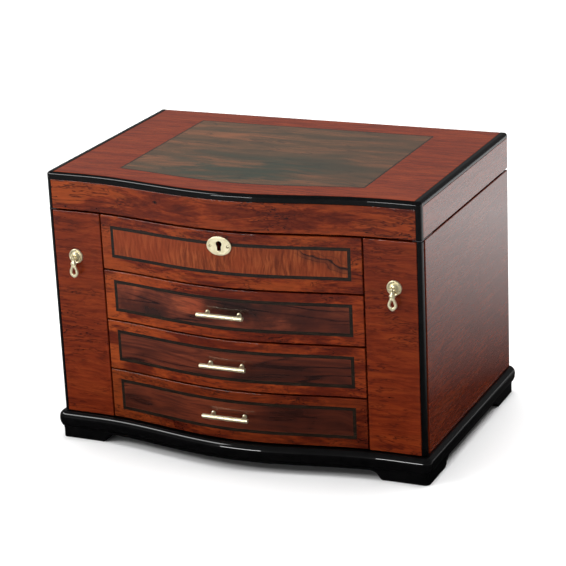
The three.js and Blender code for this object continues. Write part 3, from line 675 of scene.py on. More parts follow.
def steel():
    """Blackened steel."""
    look = Look("black_steel", Metallic=1.0, Roughness=0.42)
    cloud = look.noise(look.place, (600, 600, 600), 4)
    look.colour = look.between(cloud, (0.035, 0.035, 0.038), (0.075, 0.075, 0.08))
    look.polish(cloud, 0.34, 0.55)
    return look.finished()


def inner_wood():
    """Satin stained wood inside the carcase."""
    look = Look("inner_wood", Roughness=0.5, IOR=1.45)
    waved = look.warp(look.place, look.place, (12, 14, 14), (0.01, 0.01, 0.01))
    streak = look.noise(waved, (9, 12, 150), 4, 0.6)
    look.colour = look.between(streak, (0.055, 0.016, 0.009), (0.16, 0.05, 0.024))
    look.polish(streak, 0.58, 0.44)
    look.bump(streak, 0.1, 0.05 * MM)
    return look.finished()


def suede():
    """Champagne suede lining: short nap, cloudy shading and a soft sheen."""
    look = Look(
        "suede_lining", Roughness=0.95, Sheen_Weight=0.5, Sheen_Roughness=0.45,
        Sheen_Tint=(1.0, 0.93, 0.80, 1))
    cloud = look.noise(look.place, (28, 28, 28), 5, 0.65)
    nap = look.noise(look.place, (2600, 2600, 2600), 2)
    look.colour = look.between(cloud, (0.40, 0.32, 0.215), (0.60, 0.50, 0.36))
    look.stain(look.span(nap, 0.35, 0.7, 0.0, 0.3), (0.25, 0.19, 0.12))
    look.bump(nap, 0.35, 0.15 * MM)
    return look.finished()


def silvered():
    """Mirror glass."""
    look = Look("mirror_glass", Metallic=1.0, Roughness=0.02)
    haze = look.noise(look.place, (20, 20, 20))
    look.colour = look.between(haze, (0.84, 0.87, 0.87), (0.90, 0.92, 0.91))
    return look.finished()


EBONY = ebony()
STRINGING = stringing()
BRASS = brass()
STEEL = steel()
INNER_WOOD = inner_wood()
SUEDE = suede()
SILVERED = silvered()


# ---- Base ----

def make_plinth():
    """The moulding's rounded nose over the narrower apron, as one lofted body."""
    low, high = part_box("base_plinth")
    step_level = low.z + 2.5 * MM
    nose_level = step_level + 9.2 * MM
    corner = 8 * MM
    lower_inset = 4.0 * MM
    upper_inset = 5.0 * MM
    steps = 8
    turns = [i / steps * QUARTER for i in range(steps + 1)]
    profile = [(APRON_OUT, low.z), (APRON_OUT, step_level)]
    for t in turns:
        out = MOULDING_OUT - lower_inset * (1 - math.sin(t))
        profile.append((out, nose_level - (nose_level - step_level) * math.cos(t)))
    for t in turns[1:]:
        out = MOULDING_OUT - upper_inset * (1 - math.cos(t))
        profile.append((out, nose_level + (high.z - nose_level) * math.sin(t)))
    rings = []
    for out, z in profile:
        radius = corner + out - MOULDING_OUT
        rings.append([(x, y, z) for x, y in plan_outline(out, radius, radius)])
    place("plinth_moulding", loft(rings), EBONY, "carcase", "ebonised_wood", "base_plinth")


def foot_section(sign, outer, high):
    """Side view of a bracket foot: floor, rounded toe, ogee up to the apron."""
    arm = 48 * MM
    sweep = 13 * MM
    toe = 2.6 * MM
    floor_end = outer - arm
    points = [(outer, high), (outer, toe)]
    points += [(outer - toe + toe * math.cos(t), toe - toe * math.sin(t))
               for t in (math.pi * i / 12 for i in range(1, 7))]
    points.append((floor_end, 0.0))
    stops = (
        (floor_end, 0.0), (floor_end - 5 * MM, high * 0.25),
        (floor_end - 3 * MM, high * 0.85), (floor_end - sweep, high))
    steps = 12
    for t in (i / steps for i in range(1, steps + 1)):
        weights = ((1 - t) ** 3, 3 * t * (1 - t) ** 2, 3 * t * t * (1 - t), t ** 3)
        points.append(tuple(sum(w * p[k] for w, p in zip(weights, stops)) for k in (0, 1)))
    return [(sign * u, v) for u, v in points]


def make_foot(label, end_name, side, end):
    """A bracket foot: two shaped arms cut out of the ring under the apron."""
    node = f"foot_{end_name}_{label}"
    corner = 5 * MM
    thickness = 12 * MM
    low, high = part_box(node)
    top = high.z + 0.3 * MM       # meets the apron
    outer = prism(plan_outline(APRON_OUT, corner, corner), -MM, top)
    inner = prism(plan_outline(APRON_OUT - thickness, MM, MM), -2 * MM, top + MM)
    if end > 0:
        ys = (REAR + APRON_OUT - thickness, REAR + APRON_OUT + MM)
    else:
        ys = (low.y - MM, FLAT_FRONT - APRON_OUT + thickness)
    across = foot_section(side, HALF_WIDTH + APRON_OUT, top)
    cross_arm = loft([[(u, y, v) for u, v in across] for y in ys])
    xs = (side * (HALF_WIDTH + APRON_OUT - thickness), side * (HALF_WIDTH + APRON_OUT + MM))
    along = foot_section(end, (REAR - FLAT_FRONT) / 2 + APRON_OUT, top)
    side_arm = loft([[(x, MIDDLE_Y + u, v) for u, v in along] for x in xs])
    foot = combined(cut(outer, inner), combined(cross_arm, side_arm, "UNION"), "INTERSECT")
    place(f"bracket_{node}", softened(foot, 0.4 * MM, 2), EBONY, "carcase", "ebonised_wood", node)


# ---- Carcase ----

def make_carcase():
    """The feet, and the boards, plates and leaves that keep their CAD shape with eased edges."""
    for label, side in SIDES.items():
        for end_name, end in (("front", -1), ("rear", 1)):
            make_foot(label, end_name, side, end)
        veneer = bubinga(f"bubinga_side_{label}", "y", 1.7 + side, figure=0.3, depth=0.86, calm=0.6)
        dress(f"side_panel_{label}", veneer, 0.8 * MM, 3)
        dress(f"partition_{label}", INNER_WOOD)
        dress(f"door_pivot_plate_{label}", STEEL, 0.15 * MM)
        dress(f"hinge_fixed_leaf_{label}", BRASS, 0.1 * MM)
    dress("back_panel", bubinga("bubinga_back", "x", 4.2, figure=0.5), 0.8 * MM)
    for node in ("tray_floor", "drawer_shelf_lower", "drawer_shelf_upper", "tray_front_wall"):
        dress(node, INNER_WOOD)
    dress("lock_case", BRASS, 0.2 * MM)
    dress("lock_bolt", STEEL, 0.3 * MM)


# ---- Inlaid fronts ----

def make_inlaid_front(node, inlay_node, body, border, centre, cutter=None, rear_pocket=None):
    """A serpentine front with black stringing round a figured panel, flush in its face."""
    low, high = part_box(inlay_node)
    left, right = low.x + STRING_WIDTH, high.x - STRING_WIDTH
    under, over = low.z + STRING_WIDTH, high.z - STRING_WIDTH
    recess = slab(low.x, high.x, face_at(MM), face_at(-VENEER), low.z, high.z)
    board = cut(softened(front_board(*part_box(node)), EDGE), recess)
    strips = joined(
        front_sheet(low.x, high.x, low.z, under), front_sheet(low.x, high.x, over, high.z),
        front_sheet(low.x, left, under, over), front_sheet(right, high.x, under, over))
    panel = front_sheet(left, right, under, over)
    if cutter:
        board, strips, panel = (cut(piece, cutter()) for piece in (board, strips, panel))
    if rear_pocket:
        board = cut(board, rear_pocket())
    place(f"{node}_board", board, border, body, "bubinga", node)
    place(f"{node}_stringing", strips, STRINGING, body, "burl", inlay_node)
    place(f"{node}_figure", panel, centre, body, "burl")


def keyhole_outline(grow=0.0):
    """A round hole over a straight slot, as (x, z) points."""
    low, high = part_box("escutcheon")
    centre_z = (low.z + high.z) / 2
    round_z = centre_z + 1.9 * MM
    radius = 3.0 * MM + grow
    slot = 1.95 * MM + grow
    foot = centre_z - 4.9 * MM - grow
    start = math.asin(slot / radius)
    steps = 24
    turns = [-QUARTER + start + (2 * math.pi - 2 * start) * i / steps for i in range(steps + 1)]
    hole = [(radius * math.cos(t), round_z + radius * math.sin(t)) for t in turns]
    return [(slot, foot), *hole, (-slot, foot)]


def keyhole_cutter():
    """The keyhole carried from the panel's face into the lock."""
    ys = (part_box("lock_panel")[0].y - 2 * MM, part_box("lock_case")[0].y + MM)
    return loft([[(x, y, z) for x, z in keyhole_outline()] for y in ys])


def lock_pocket():
    """The space that the lock case fills, open to the top and the back."""
    low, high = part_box("lock_case")
    half_body = 15 * MM + CLEAR
    selvedge = 1.8 * MM + CLEAR
    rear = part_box("lock_panel")[1].y + MM
    top = high.z + MM
    body = block((-half_body, low.y + 2 * MM - CLEAR, low.z - CLEAR), (half_body, rear, top))
    plate = block((low.x - CLEAR, low.y - CLEAR, high.z - selvedge), (high.x + CLEAR, rear, top))
    return combined(body, plate, "UNION")


def make_lock_panel():
    """The fixed panel over the drawers, with its keyhole and the pocket for the lock."""
    # Painted light: a little orange is added at the panel's left end.
    border = bubinga("bubinga_lock_panel", "x", 2.6, glow=0.5, painted_left_end_light=0.06)
    figure = fiddleback("fiddleback_lock_panel", 0.3)
    make_inlaid_front(
        "lock_panel", "lock_panel_inlay", "carcase", border, figure, keyhole_cutter, lock_pocket)


def make_escutcheon():
    """The oval key plate: a rounded plate with a keyhole, a raised rim line, and two pins in open holes."""
    low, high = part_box("escutcheon")
    centre_z = (low.z + high.z) / 2
    half_x, half_z = (high.x - low.x) / 2, (high.z - low.z) / 2
    rounding = 0.45 * MM
    rim_inset = 1.6 * MM
    pins = (-9.3 * MM, 9.3 * MM)
    steps = 72
    outline = [point[:2] for point in oval(half_x - rounding, half_z - rounding, steps)]
    keyhole = [(x, z - centre_z) for x, z in keyhole_outline(rounding)][::-1]
    plate = cut_plate([outline, keyhole], 0.25 * MM, rounding)
    for x in pins:
        hole = turned([(0, -2), (1.35, -2), (1.35, 0.3), (1.8, 2), (0, 2)], 28)
        plate = cut(plate, moved(hole, Matrix.Translation((x, 0, 0))))
    middle_y = high.y - 0.7 * MM
    front = middle_y - 0.66 * MM
    rim = tube(oval(half_x - rim_inset, half_z - rim_inset, steps), 0.26 * MM)
    parts = [posed(plate, (0, middle_y, centre_z), "X"), posed(rim, (0, front, centre_z), "X")]
    for x in pins:
        pin = turned([(0, -1.5), (0.8, -1.5), (0.8, 0.2), (0.65, 0.5), (0, 0.65)], 20)
        parts.append(posed(pin, (x, middle_y, centre_z), "X"))
    place("key_plate", joined(*parts), BRASS, "carcase", "brass", "escutcheon")


# ---- Drawers ----

def make_pull(label):
    """A round bar with flat, eased ends on two turned posts."""
    low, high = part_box(f"drawer_pull_{label}")
    radius = (high.z - low.z) / 2 - 0.4 * MM
    bar_y = low.y + radius
    z = (low.z + high.z) / 2
    half = high.x
    ease = 0.5 * MM
    nip = 0.15 * MM
    profile = [(0, -half), (radius - ease, -half), (radius - nip, -half + nip), (radius, -half + ease)]
    profile += [(r, -h) for r, h in profile[::-1]]
    parts = [posed(revolve(profile, 40), (0, bar_y, z), "Y")]
    for x in (-17 * MM, 17 * MM):
        face = front_y(x)
        reach = (face - bar_y) / MM
        post = turned([
            (0, 0), (2.5, 0), (2.5, 0.5), (2.1, 1.0), (1.55, 1.4), (1.35, 2.2), (1.35, reach - 2.6),
            (1.8, reach - 1.8), (1.9, reach - 0.6), (1.6, reach + 0.4), (0, reach + 0.8)], 28)
        parts.append(posed(post, (x, face, z), "X"))
    place(f"bar_pull_{label}", joined(*parts), BRASS, f"drawer_{label}", "brass", f"drawer_pull_{label}")


def make_drawer_box(label):
    """The drawer's wooden box, the suede that lines it and the pad in its floor."""
    node = f"drawer_box_{label}"
    body = f"drawer_{label}"
    low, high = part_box(node)
    wall = 5 * MM
    bottom = 4 * MM
    skin = 0.9 * MM
    inset = 1.5 * MM
    x0, x1 = low.x + wall, high.x - wall
    y0, y1 = low.y + wall, high.y - wall
    floor = low.z + bottom
    box = cut(block(low, high), block((x0, y0, floor), (x1, y1, high.z + MM)))
    place(f"drawer_case_{label}", softened(box, 0.6 * MM, 2), INNER_WOOD, body, "carcase_wood", node)
    sleeve = lining_sleeve((x0, y0, floor), (x1, y1, high.z - 2 * MM), skin, 0.4 * MM)
    place(f"drawer_lining_{label}", sleeve, SUEDE, body, "lining")
    pad = pillow((x0 + inset, y0 + inset), (x1 - inset, y1 - inset), floor + skin, 3.2 * MM)
    place(f"drawer_pad_{label}", pad, SUEDE, body, "lining")


def pillow(low, high, base, height):
    """A thin pad: flat underneath, crowned on top, with rounded edges."""
    step = 6 * MM
    xs, ys = spread(low[0], high[0], step), spread(low[1], high[1], step)
    last_i, last_j = len(xs) - 1, len(ys) - 1
    bm = bmesh.new()

    def crown(x, y):
        edge = min(x - low[0], high[0] - x, y - low[1], high[1] - y)
        return height * (1 - (1 - min(edge / (5 * MM), 1)) ** 2 * 0.75)

    top = [[bm.verts.new((x, y, base + crown(x, y))) for y in ys] for x in xs]
    bottom = [[bm.verts.new((x, y, base)) for y in ys] for x in xs]
    for i in range(last_i):
        for j in range(last_j):
            bm.faces.new((top[i][j], top[i + 1][j], top[i + 1][j + 1], top[i][j + 1]))
            bm.faces.new((bottom[i][j], bottom[i][j + 1], bottom[i + 1][j + 1], bottom[i + 1][j]))
    around = [(i, 0) for i in range(last_i + 1)] + [(last_i, j) for j in range(1, last_j + 1)]
    around += [(i, last_j) for i in range(last_i - 1, -1, -1)] + [(0, j) for j in range(last_j - 1, 0, -1)]
    for (i, j), (k, m) in zip(around, around[1:] + around[:1]):
        bm.faces.new((bottom[i][j], bottom[k][m], top[k][m], top[i][j]))
    return mesh_from(bm)


def make_drawers():
    """Each drawer's inlaid front, pull and box. The figures differ, as the veneers do."""
    # Each figure gets painted shade on its right end; dark sets where and how much.
    figures = {
        "upper": walnut(
            "walnut_upper", 6.1, along=14, across=20, swirl=0.7, red=0.6,
            dark=(0.068, 0.080, 0.6), tone=1.75),
        "middle": walnut("walnut_middle", 3.1, along=2, across=70, swirl=0.3, red=0.3, tone=1.35),
        "lower": walnut(
            "walnut_lower", 5.3, along=6, across=44, swirl=0.9, red=0.45, dark=(-0.03, 0.08, 0.65)),
    }
    # Painted shade: the lower drawer's border veneer is made darker, for the shade low on the front above the
    # plinth.
    depths = {"upper": 1.12, "middle": 1.04, "lower": 0.70}
    for index, label in enumerate(DRAWERS):
        seed = 7.7 + 1.9 * index
        border = bubinga(
            f"bubinga_drawer_{label}", "x", seed, glow=0.95, depth=depths[label], painted_left_light=0.8, painted_left_end_light=0.12)
        front, inlay = f"drawer_front_{label}", f"drawer_inlay_{label}"
        make_inlaid_front(front, inlay, f"drawer_{label}", border, figures[label])
        make_pull(label)
        make_drawer_box(label)


# ---- Doors ----

def make_rosette(label):
    """A turned plate with a rolled rim, pierced dots and a boss, and the cheeks and pin that hold a drop."""
    node = f"door_rosette_{label}"
    low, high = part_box(node)
    x = (low.x + high.x) / 2
    z = (low.z + high.z) / 2
    radius = (high.x - low.x) / 2 / MM
    face = front_y(x)
    rim = 0.75
    profile = [(0, 0), (radius, 0), (radius, 0.5)]
    profile += [(radius - rim + rim * math.cos(t), 0.5 + 0.9 * math.sin(t))
                for t in (math.pi * i / 16 for i in range(1, 13))]
    profile += [(5.4, 0.75), (4.6, 0.8), (4.1, 1.3), (3.9, 2.1), (3.3, 2.8), (2.2, 3.2), (0, 3.3)]
    dot_circle = 5.85 * MM
    dots = []
    for turn in (math.pi * (1 + 2 * i) / 6 for i in range(6)):
        dot = turned([(0, -1), (0.6, -1), (0.6, 3), (0, 3)], 16)
        spot = (dot_circle * math.cos(turn), dot_circle * math.sin(turn), 0)
        dots.append(moved(dot, Matrix.Translation(spot)))
    parts = [posed(cut(turned(profile, 56), joined(*dots)), (x, face, z), "X")]
    pivot_y = drop_pivot(label)
    for cheek_x in (x - 2.05 * MM, x + 2.05 * MM):
        cheek = turned([(0, -0.55), (1.5, -0.55), (1.8, -0.25), (1.8, 0.25), (1.5, 0.55), (0, 0.55)], 24)
        parts.append(posed(cheek, (cheek_x, pivot_y, z), "Y"))
        parts.append(block(
            (cheek_x - 0.5 * MM, pivot_y, z - 1.6 * MM), (cheek_x + 0.5 * MM, face - 2 * MM, z + 1.6 * MM)))
    pin = turned([(0, -2.9), (0.6, -2.9), (0.8, -2.7), (0.8, 2.7), (0.6, 2.9), (0, 2.9)], 20)
    parts.append(posed(pin, (x, pivot_y, z), "Y"))
    place(f"rosette_{label}", joined(*parts), BRASS, f"door_{label}", "brass", node)


def drop_pivot(label):
    """Y of the pin that a drop swings on."""
    joint = next(j for j in frame["joints"] if j["name"] == f"drop_{label}_swing")
    return joint["pos_m"][1]


def teardrop(top_half, half_width, top, wide, bottom):
    """A closed drop outline: widening from the top to its widest level, then drawn in to a point."""
    steps = [i / 14 for i in range(15)]
    right = [(top_half + (half_width - top_half) * math.sin(QUARTER * t) ** 1.4, top + (wide - top) * t)
             for t in steps]
    right += [(half_width * math.cos(QUARTER * t) ** 0.75, wide + (bottom - wide) * t) for t in steps[1:]]
    return right + [(-x, z) for x, z in right[-2::-1]]


def make_drop(label):
    """The pendant: an eye on the pin, a stout neck, a bead and a pierced teardrop with a pointed tip."""
    node = f"door_drop_{label}"
    low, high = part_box(node)
    spot = ((low.x + high.x) / 2, drop_pivot(label), high.z - 1.9 * MM)
    eye = posed(tube(oval(1.5 * MM, 1.5 * MM, 28), 0.42 * MM, 10), (0, 0, 0), "Y")
    eye.transform(Matrix.Diagonal((2.4, 1, 1, 1)))
    stem = turned([
        (0, -8.7), (1.7, -8.7), (2.4, -8.2), (2.3, -7.6), (3.0, -7.1), (3.25, -6.2), (3.0, -5.2),
        (2.3, -4.6), (1.9, -4.1), (1.75, -3.2), (1.6, -2.3), (1.3, -1.8), (0, -1.6)], 32)
    stem.transform(Matrix.Diagonal((1, 0.6, 1, 1)))
    rounding = 0.75 * MM
    outer = teardrop(1.7 * MM, 4.8 * MM - rounding, -8.4 * MM, -15.6 * MM, -20.3 * MM)
    inner = teardrop(1.25 * MM, 1.95 * MM + rounding, -10.0 * MM, -15.4 * MM, -18.3 * MM)[::-1]
    pendant = posed(cut_plate([outer, inner], 0.3 * MM, rounding), (0, 0, 0), "X")
    tip = turned([(0, -21), (0.5, -20.9), (0.8, -20.3), (0.65, -19.6), (0, -19.4)], 16)
    whole = moved(joined(eye, stem, pendant, tip), Matrix.Translation(spot))
    place(f"drop_pull_{label}", whole, BRASS, f"drop_{label}", "brass", node)


def make_stile(label, side):
    """The half-round black stile with its lower pin."""
    node = f"door_stile_{label}"
    low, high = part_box(node)
    radius = (high.y - low.y) / 2
    x, y = side * (HALF_WIDTH - radius), low.y + radius
    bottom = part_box(f"door_panel_{label}")[0].z
    outline = [(x + side * radius * math.cos(t), y + radius * math.sin(t))
               for t in (math.pi * (i / 28 - 0.5) for i in range(29))]
    body = softened(prism(outline, bottom, high.z), 0.5 * MM)
    pin_top = bottom - 0.3 * MM
    pin = revolve([
        (0, low.z), (1.6 * MM, low.z), (2 * MM, low.z + 0.4 * MM), (2 * MM, pin_top), (0, pin_top)], 24)
    pin.transform(Matrix.Translation((x, y, 0)))
    place(f"stile_{label}", joined(body, pin), EBONY, f"door_{label}", "ebonised_wood", node)


def make_doors():
    """Each door's veneered panel with its stile, rosette, drop and hook rail."""
    for label, side in SIDES.items():
        node = f"door_panel_{label}"
        veneer = bubinga(f"bubinga_door_{label}", "x", 12.4 + 3.3 * side, depth=0.94, calm=0.4)
        board = softened(front_board(*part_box(node)), EDGE)
        place(f"{node}_board", board, veneer, f"door_{label}", "bubinga", node)
        make_stile(label, side)
        make_rosette(label)
        make_drop(label)
        dress(f"door_hook_rail_{label}", BRASS, 0.4 * MM, 3)


# ---- Lid ----

EDGING_IN = 3 * MM                # edging seen on top, along the front
EDGING_DOWN = 7.5 * MM            # edging seen on the front
POST_WIDTH = 5.3 * MM
FIT = 0.15 * MM                   # gap between the edging and the veneered pieces


def make_edging():
    """Black edging round the lid's top edge and down its front corners, cut from one rounded shell."""
    rounding = 3.6 * MM
    corner = 5 * MM
    profile = [(0.0, LID_BOTTOM - MM)]
    profile += [(rounding * (math.cos(t) - 1), LID_TOP - rounding + rounding * math.sin(t))
                for t in (i / 8 * QUARTER for i in range(9))]
    past_rear = REAR + 30 * MM
    shell = loft([
        [(x, y, z) for x, y in plan_outline(out, corner + out, MM, past_rear)] for out, z in profile])
    wide = HALF_WIDTH + 9 * MM
    strip_front = front_y(0) - 9 * MM
    top = LID_TOP + MM
    side_in, side_down = 7 * MM, 5 * MM
    post_depth = 6 * MM
    region = slab(-wide, wide, face_at(6 * MM), face_at(-EDGING_IN), LID_TOP - EDGING_DOWN, top)
    for side in (-1, 1):
        for width, bottom, rear in (
                (side_in, LID_TOP - side_down, REAR), (POST_WIDTH, LID_BOTTOM, FLAT_FRONT + post_depth)):
            x0, x1 = sorted((side * wide, side * (HALF_WIDTH - width)))
            region = combined(region, block((x0, strip_front, bottom), (x1, rear, top)), "UNION")
    edging = combined(shell, region, "INTERSECT")
    place("lid_black_edging", edging, EBONY, "lid", "ebonised_wood", "lid_edging", smooth_angle=30)


def make_lid_top():
    """The veneered top with its large figured inlay inside a thin black line."""
    low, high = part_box("lid_top_panel")
    inlay_low, inlay_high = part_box("lid_inlay")
    inset = 33.5 * MM
    line = 1.6 * MM

    def front_curve(x0, x1, inward):
        return [(x, front_y(x, -inward)) for x in spread(x0, x1, 3 * MM)]

    def sheet(shrink, bottom, top):
        """The inlay's outline, made smaller all round, between two levels."""
        x0, x1, rear = inlay_low.x + shrink, inlay_high.x - shrink, inlay_high.y - shrink
        return prism([*front_curve(x0, x1, inset + shrink), (x1, rear), (x0, rear)], bottom, top)

    half = high.x + FIT
    outline = [*front_curve(-half, half, EDGING_IN + FIT), (half, high.y), (-half, high.y)]
    board = softened(prism(outline, low.z, high.z), 0.9 * MM)
    board = cut(board, sheet(0, high.z - VENEER, high.z + MM))
    # Painted light: this veneer is made lighter than the same veneer on the front, for the top's brighter,
    # more reflective look.
    veneer = bubinga("bubinga_lid_top", "x", 21.3, figure=0.35, depth=1.24, calm=0.4)
    place("lid_top_board", board, veneer, "lid", "bubinga", "lid_top_panel")
    string = cut(sheet(0, high.z - VENEER, high.z), sheet(line, high.z - 2 * VENEER, high.z + MM))
    place("lid_stringing", string, STRINGING, "lid", "burl", "lid_inlay")
    figure = smoky("smoky_lid_figure", 14.2)
    place("lid_figure", sheet(line, high.z - VENEER, high.z), figure, "lid", "burl")


def make_lid_rails():
    """The lid's front rail, with the rabbet that takes the edging, and the strike's mortise."""
    low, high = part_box("lid_front_rail")
    strike_low, strike_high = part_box("lock_strike")
    rabbet_z = LID_TOP - EDGING_DOWN - FIT
    inner_face = face_at(-EDGING_IN - CLEAR)
    section = [
        (front_y, low.z), (front_y, rabbet_z), (inner_face, rabbet_z), (inner_face, high.z),
        (lambda x: high.y, high.z), (lambda x: high.y, low.z)]
    half = HALF_WIDTH - POST_WIDTH - FIT
    rail = softened(along_front(-half, half, section), 0.6 * MM)
    shoulder_y = FLAT_FRONT + 6 * MM
    for side in (-1, 1):
        x0, x1 = sorted((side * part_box("back_panel")[1].x, side * (HALF_WIDTH + MM)))
        rail = cut(rail, block((x0, shoulder_y, low.z - MM), (x1, REAR, LID_TOP)))
    pocket = block(
        (strike_low.x - CLEAR, strike_low.y - CLEAR, low.z - MM),
        (strike_high.x + CLEAR, strike_high.y + CLEAR, strike_high.z + CLEAR))
    middle_y = (strike_low.y + strike_high.y) / 2
    mortise = block((-6 * MM, middle_y - 3 * MM, low.z), (6 * MM, middle_y + 3 * MM, low.z + 8 * MM))
    rail = cut(cut(rail, pocket), mortise)
    # Painted light: the orange is gathered on the rail's left end.
    veneer = bubinga("bubinga_lid_rail", "x", 31.9, glow=0.7, figure=1.1, painted_left_light=0.6, knot=(-72 * MM, 268 * MM))
    place("lid_front_rail_board", rail, veneer, "lid", "bubinga", "lid_front_rail")


def make_lid():
    """The lid: edging, top, rails, mirror, strike and hinge leaves."""
    make_edging()
    make_lid_top()
    make_lid_rails()
    for label, side in SIDES.items():
        veneer = bubinga(f"bubinga_lid_side_{label}", "y", 8.8 + side, figure=0.3, calm=0.6)
        dress(f"lid_side_rail_{label}", veneer, 0.6 * MM)
        dress(f"hinge_lid_leaf_{label}", BRASS, 0.1 * MM)
    dress("lid_back_rail", bubinga("bubinga_lid_back", "x", 17.0, figure=0.5), 0.6 * MM)
    dress("lid_mirror_frame", bubinga("bubinga_mirror_frame", "x", 26.0, figure=0.5), 1.2 * MM, 3)
    dress("lid_mirror", SILVERED, 0.5 * MM)
    dress("lock_strike", BRASS, 0.15 * MM)


# ---- Tray ----

def make_ring_rolls():
    """Padded rolls side by side, each a soft round bar wrapped in suede."""
    low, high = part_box("ring_roll_pad")
    count = 8
    pitch = (high.y - low.y) / count
    height = high.z - low.z
    rolls = []
    for index in range(count):
        middle = low.y + (index + 0.5) * pitch
        rings = []
        for x in spread(low.x, high.x, 2.5 * MM):
            end = min(x - low.x, high.x - x)
            shrink = 1 - 0.35 * (1 - min(end / (4 * MM), 1)) ** 2
            ripple = 1 + 0.012 * math.sin(x * 330 + index * 2.1) + 0.008 * math.sin(x * 910 + index)
            section = []
            for t in angles(32):
                across = 0.485 * pitch * math.copysign(abs(math.cos(t)) ** 0.8, math.cos(t))
                up = 0.5 * height * (1 + math.copysign(abs(math.sin(t)) ** 0.85, math.sin(t)))
                level = low.z + up * (0.97 * shrink + 0.02) * ripple
                section.append((x, middle + across * shrink * ripple, level))
            rings.append(section)
        rolls.append(loft(rings))
    pad = place("ring_rolls", joined(*rolls), SUEDE, "carcase", "lining", "ring_roll_pad", smooth_angle=60)


def wrapped_wall(start, end, width, low, high):
    """An upright board wrapped in suede: a rounded top edge, faces that swell a little between its ends."""
    start, end = Vector((*start, 0)), Vector((*end, 0))
    run = end - start
    across = Vector((run.y, -run.x, 0)).normalized()
    turns = [math.pi * i / 10 for i in range(11)]
    rings = []
    for t in spread(0.0, 1.0, 5 * MM / run.length):
        point = start + run * t
        dip = 0.15 * MM * (1 + math.sin(37 * t + 90 * start.x) * math.sin(11 * t))
        swell = 1 - 0.04 * (1 + math.sin(23 * t + 70 * start.y))
        half = width / 2 * swell
        rounded = [(half * math.cos(turn), high - dip - width / 2 * (1 - math.sin(turn))) for turn in turns]
        section = [(half, low), *rounded, (-half, low)]
        rings.append([tuple(point + across * u + Vector((0, 0, z))) for u, z in section])
    return loft(rings)


def lining_sleeve(low, high, skin=0.8 * MM, edge=0.3 * MM, open_front=False):
    """A thin suede skin on the walls and floor of a bay that is open above, and in front when asked."""
    front = low[1] - MM if open_front else low[1] + skin
    inner = block((low[0] + skin, front, low[2] + skin), (high[0] - skin, high[1] - skin, high[2] + MM))
    return softened(cut(block(low, high), inner), edge, 2)


def make_tray():
    """The tray under the lid: its lining, the divider, a thin pad in each bay, and the ring rolls."""
    floor_low, floor_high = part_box("tray_floor")
    divider_low, divider_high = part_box("tray_divider")
    rolls_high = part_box("ring_roll_pad")[1]
    wall = 5 * MM
    split_y = rolls_high.y + CLEAR + wall / 2
    split_x = rolls_high.x + CLEAR + wall / 2
    base = floor_high.z
    sleeve = lining_sleeve((floor_low.x, floor_low.y, base), (floor_high.x, floor_high.y, RIM - 3 * MM))
    place("tray_lining", sleeve, SUEDE, "carcase", "lining")
    let_in = 0.5 * MM
    x0, x1 = floor_low.x + let_in, floor_high.x - let_in
    y0, y1 = floor_low.y + let_in, floor_high.y - let_in
    rear_splits = [-95 * MM, 0.0, 95 * MM]
    runs = [((x0, split_y), (x1, split_y))]
    runs += [((x, y0), (x, split_y)) for x in (-split_x, split_x)]
    runs += [((x, split_y), (x, y1)) for x in rear_splits]
    divider, *others = [wrapped_wall(a, b, wall, divider_low.z, divider_high.z) for a, b in runs]
    for other in others:
        divider = combined(divider, other, "UNION")
    place("suede_divider", divider, SUEDE, "carcase", "lining", "tray_divider", smooth_angle=50)
    edges = [x0, *rear_splits, x1]
    bays = [(x0, -split_x, y0, split_y), (split_x, x1, y0, split_y)]
    bays += [(a, b, split_y, y1) for a, b in zip(edges, edges[1:])]
    inset = wall / 2 + 0.6 * MM
    for index, (left, right, front, rear) in enumerate(bays):
        pad = pillow((left + inset, front + inset), (right - inset, rear - inset), base + 0.8 * MM, 3.4 * MM)
        place(f"tray_pad_{index + 1}", pad, SUEDE, "carcase", "lining")
    make_ring_rolls()


# ---- Small fittings ----

def make_bay_linings():
    """Suede inside the necklace bay behind each door."""
    partition_low, partition_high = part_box("partition_right")
    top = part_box("tray_floor")[0].z
    clear = 0.1 * MM
    near, far = partition_high.x + clear, SIDE_LOW.x - clear
    front, rear = partition_low.y + 0.8 * MM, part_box("back_panel")[0].y - clear
    for label, side in SIDES.items():
        x0, x1 = sorted((side * near, side * far))
        sleeve = lining_sleeve((x0, front, PLINTH_TOP + clear), (x1, rear, top - clear), open_front=True)
        place(f"necklace_bay_lining_{label}", sleeve, SUEDE, "carcase", "lining")
        pad = pillow((x0 + MM, front + MM), (x1 - MM, rear - MM), PLINTH_TOP + 0.9 * MM, 2.6 * MM)
        place(f"necklace_bay_pad_{label}", pad, SUEDE, "carcase", "lining")


def make_catches():
    """A magnetic catch beside each door's inner edge, and its small plate on the door."""
    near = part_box("partition_right")[1].x
    door_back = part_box("door_panel_right")[1].y
    face = door_back + 0.9 * MM
    level = 64 * MM
    half_height = 9 * MM
    for label, side in SIDES.items():
        x0, x1 = sorted((side * near, side * (near + 7.5 * MM)))
        middle = (x0 + x1) / 2
        case = block((x0, face, level - half_height), (x1, face + 11 * MM, level + half_height))
        pole = turned([(0, -1), (2.4, -1), (2.4, 0.1), (2.2, 0.3), (0, 0.3)], 28)
        catch = joined(softened(case, 0.9 * MM), posed(pole, (middle, face, level), "X"))
        place(f"door_catch_{label}", catch, STEEL, "carcase", "steel")
        plate = turned([(0, -0.2), (3, -0.2), (3, 0.2), (2.7, 0.4), (0, 0.4)], 28)
        plate = posed(plate, (middle, door_back, level), "X", -QUARTER)
        place(f"door_catch_plate_{label}", plate, STEEL, f"door_{label}", "steel")


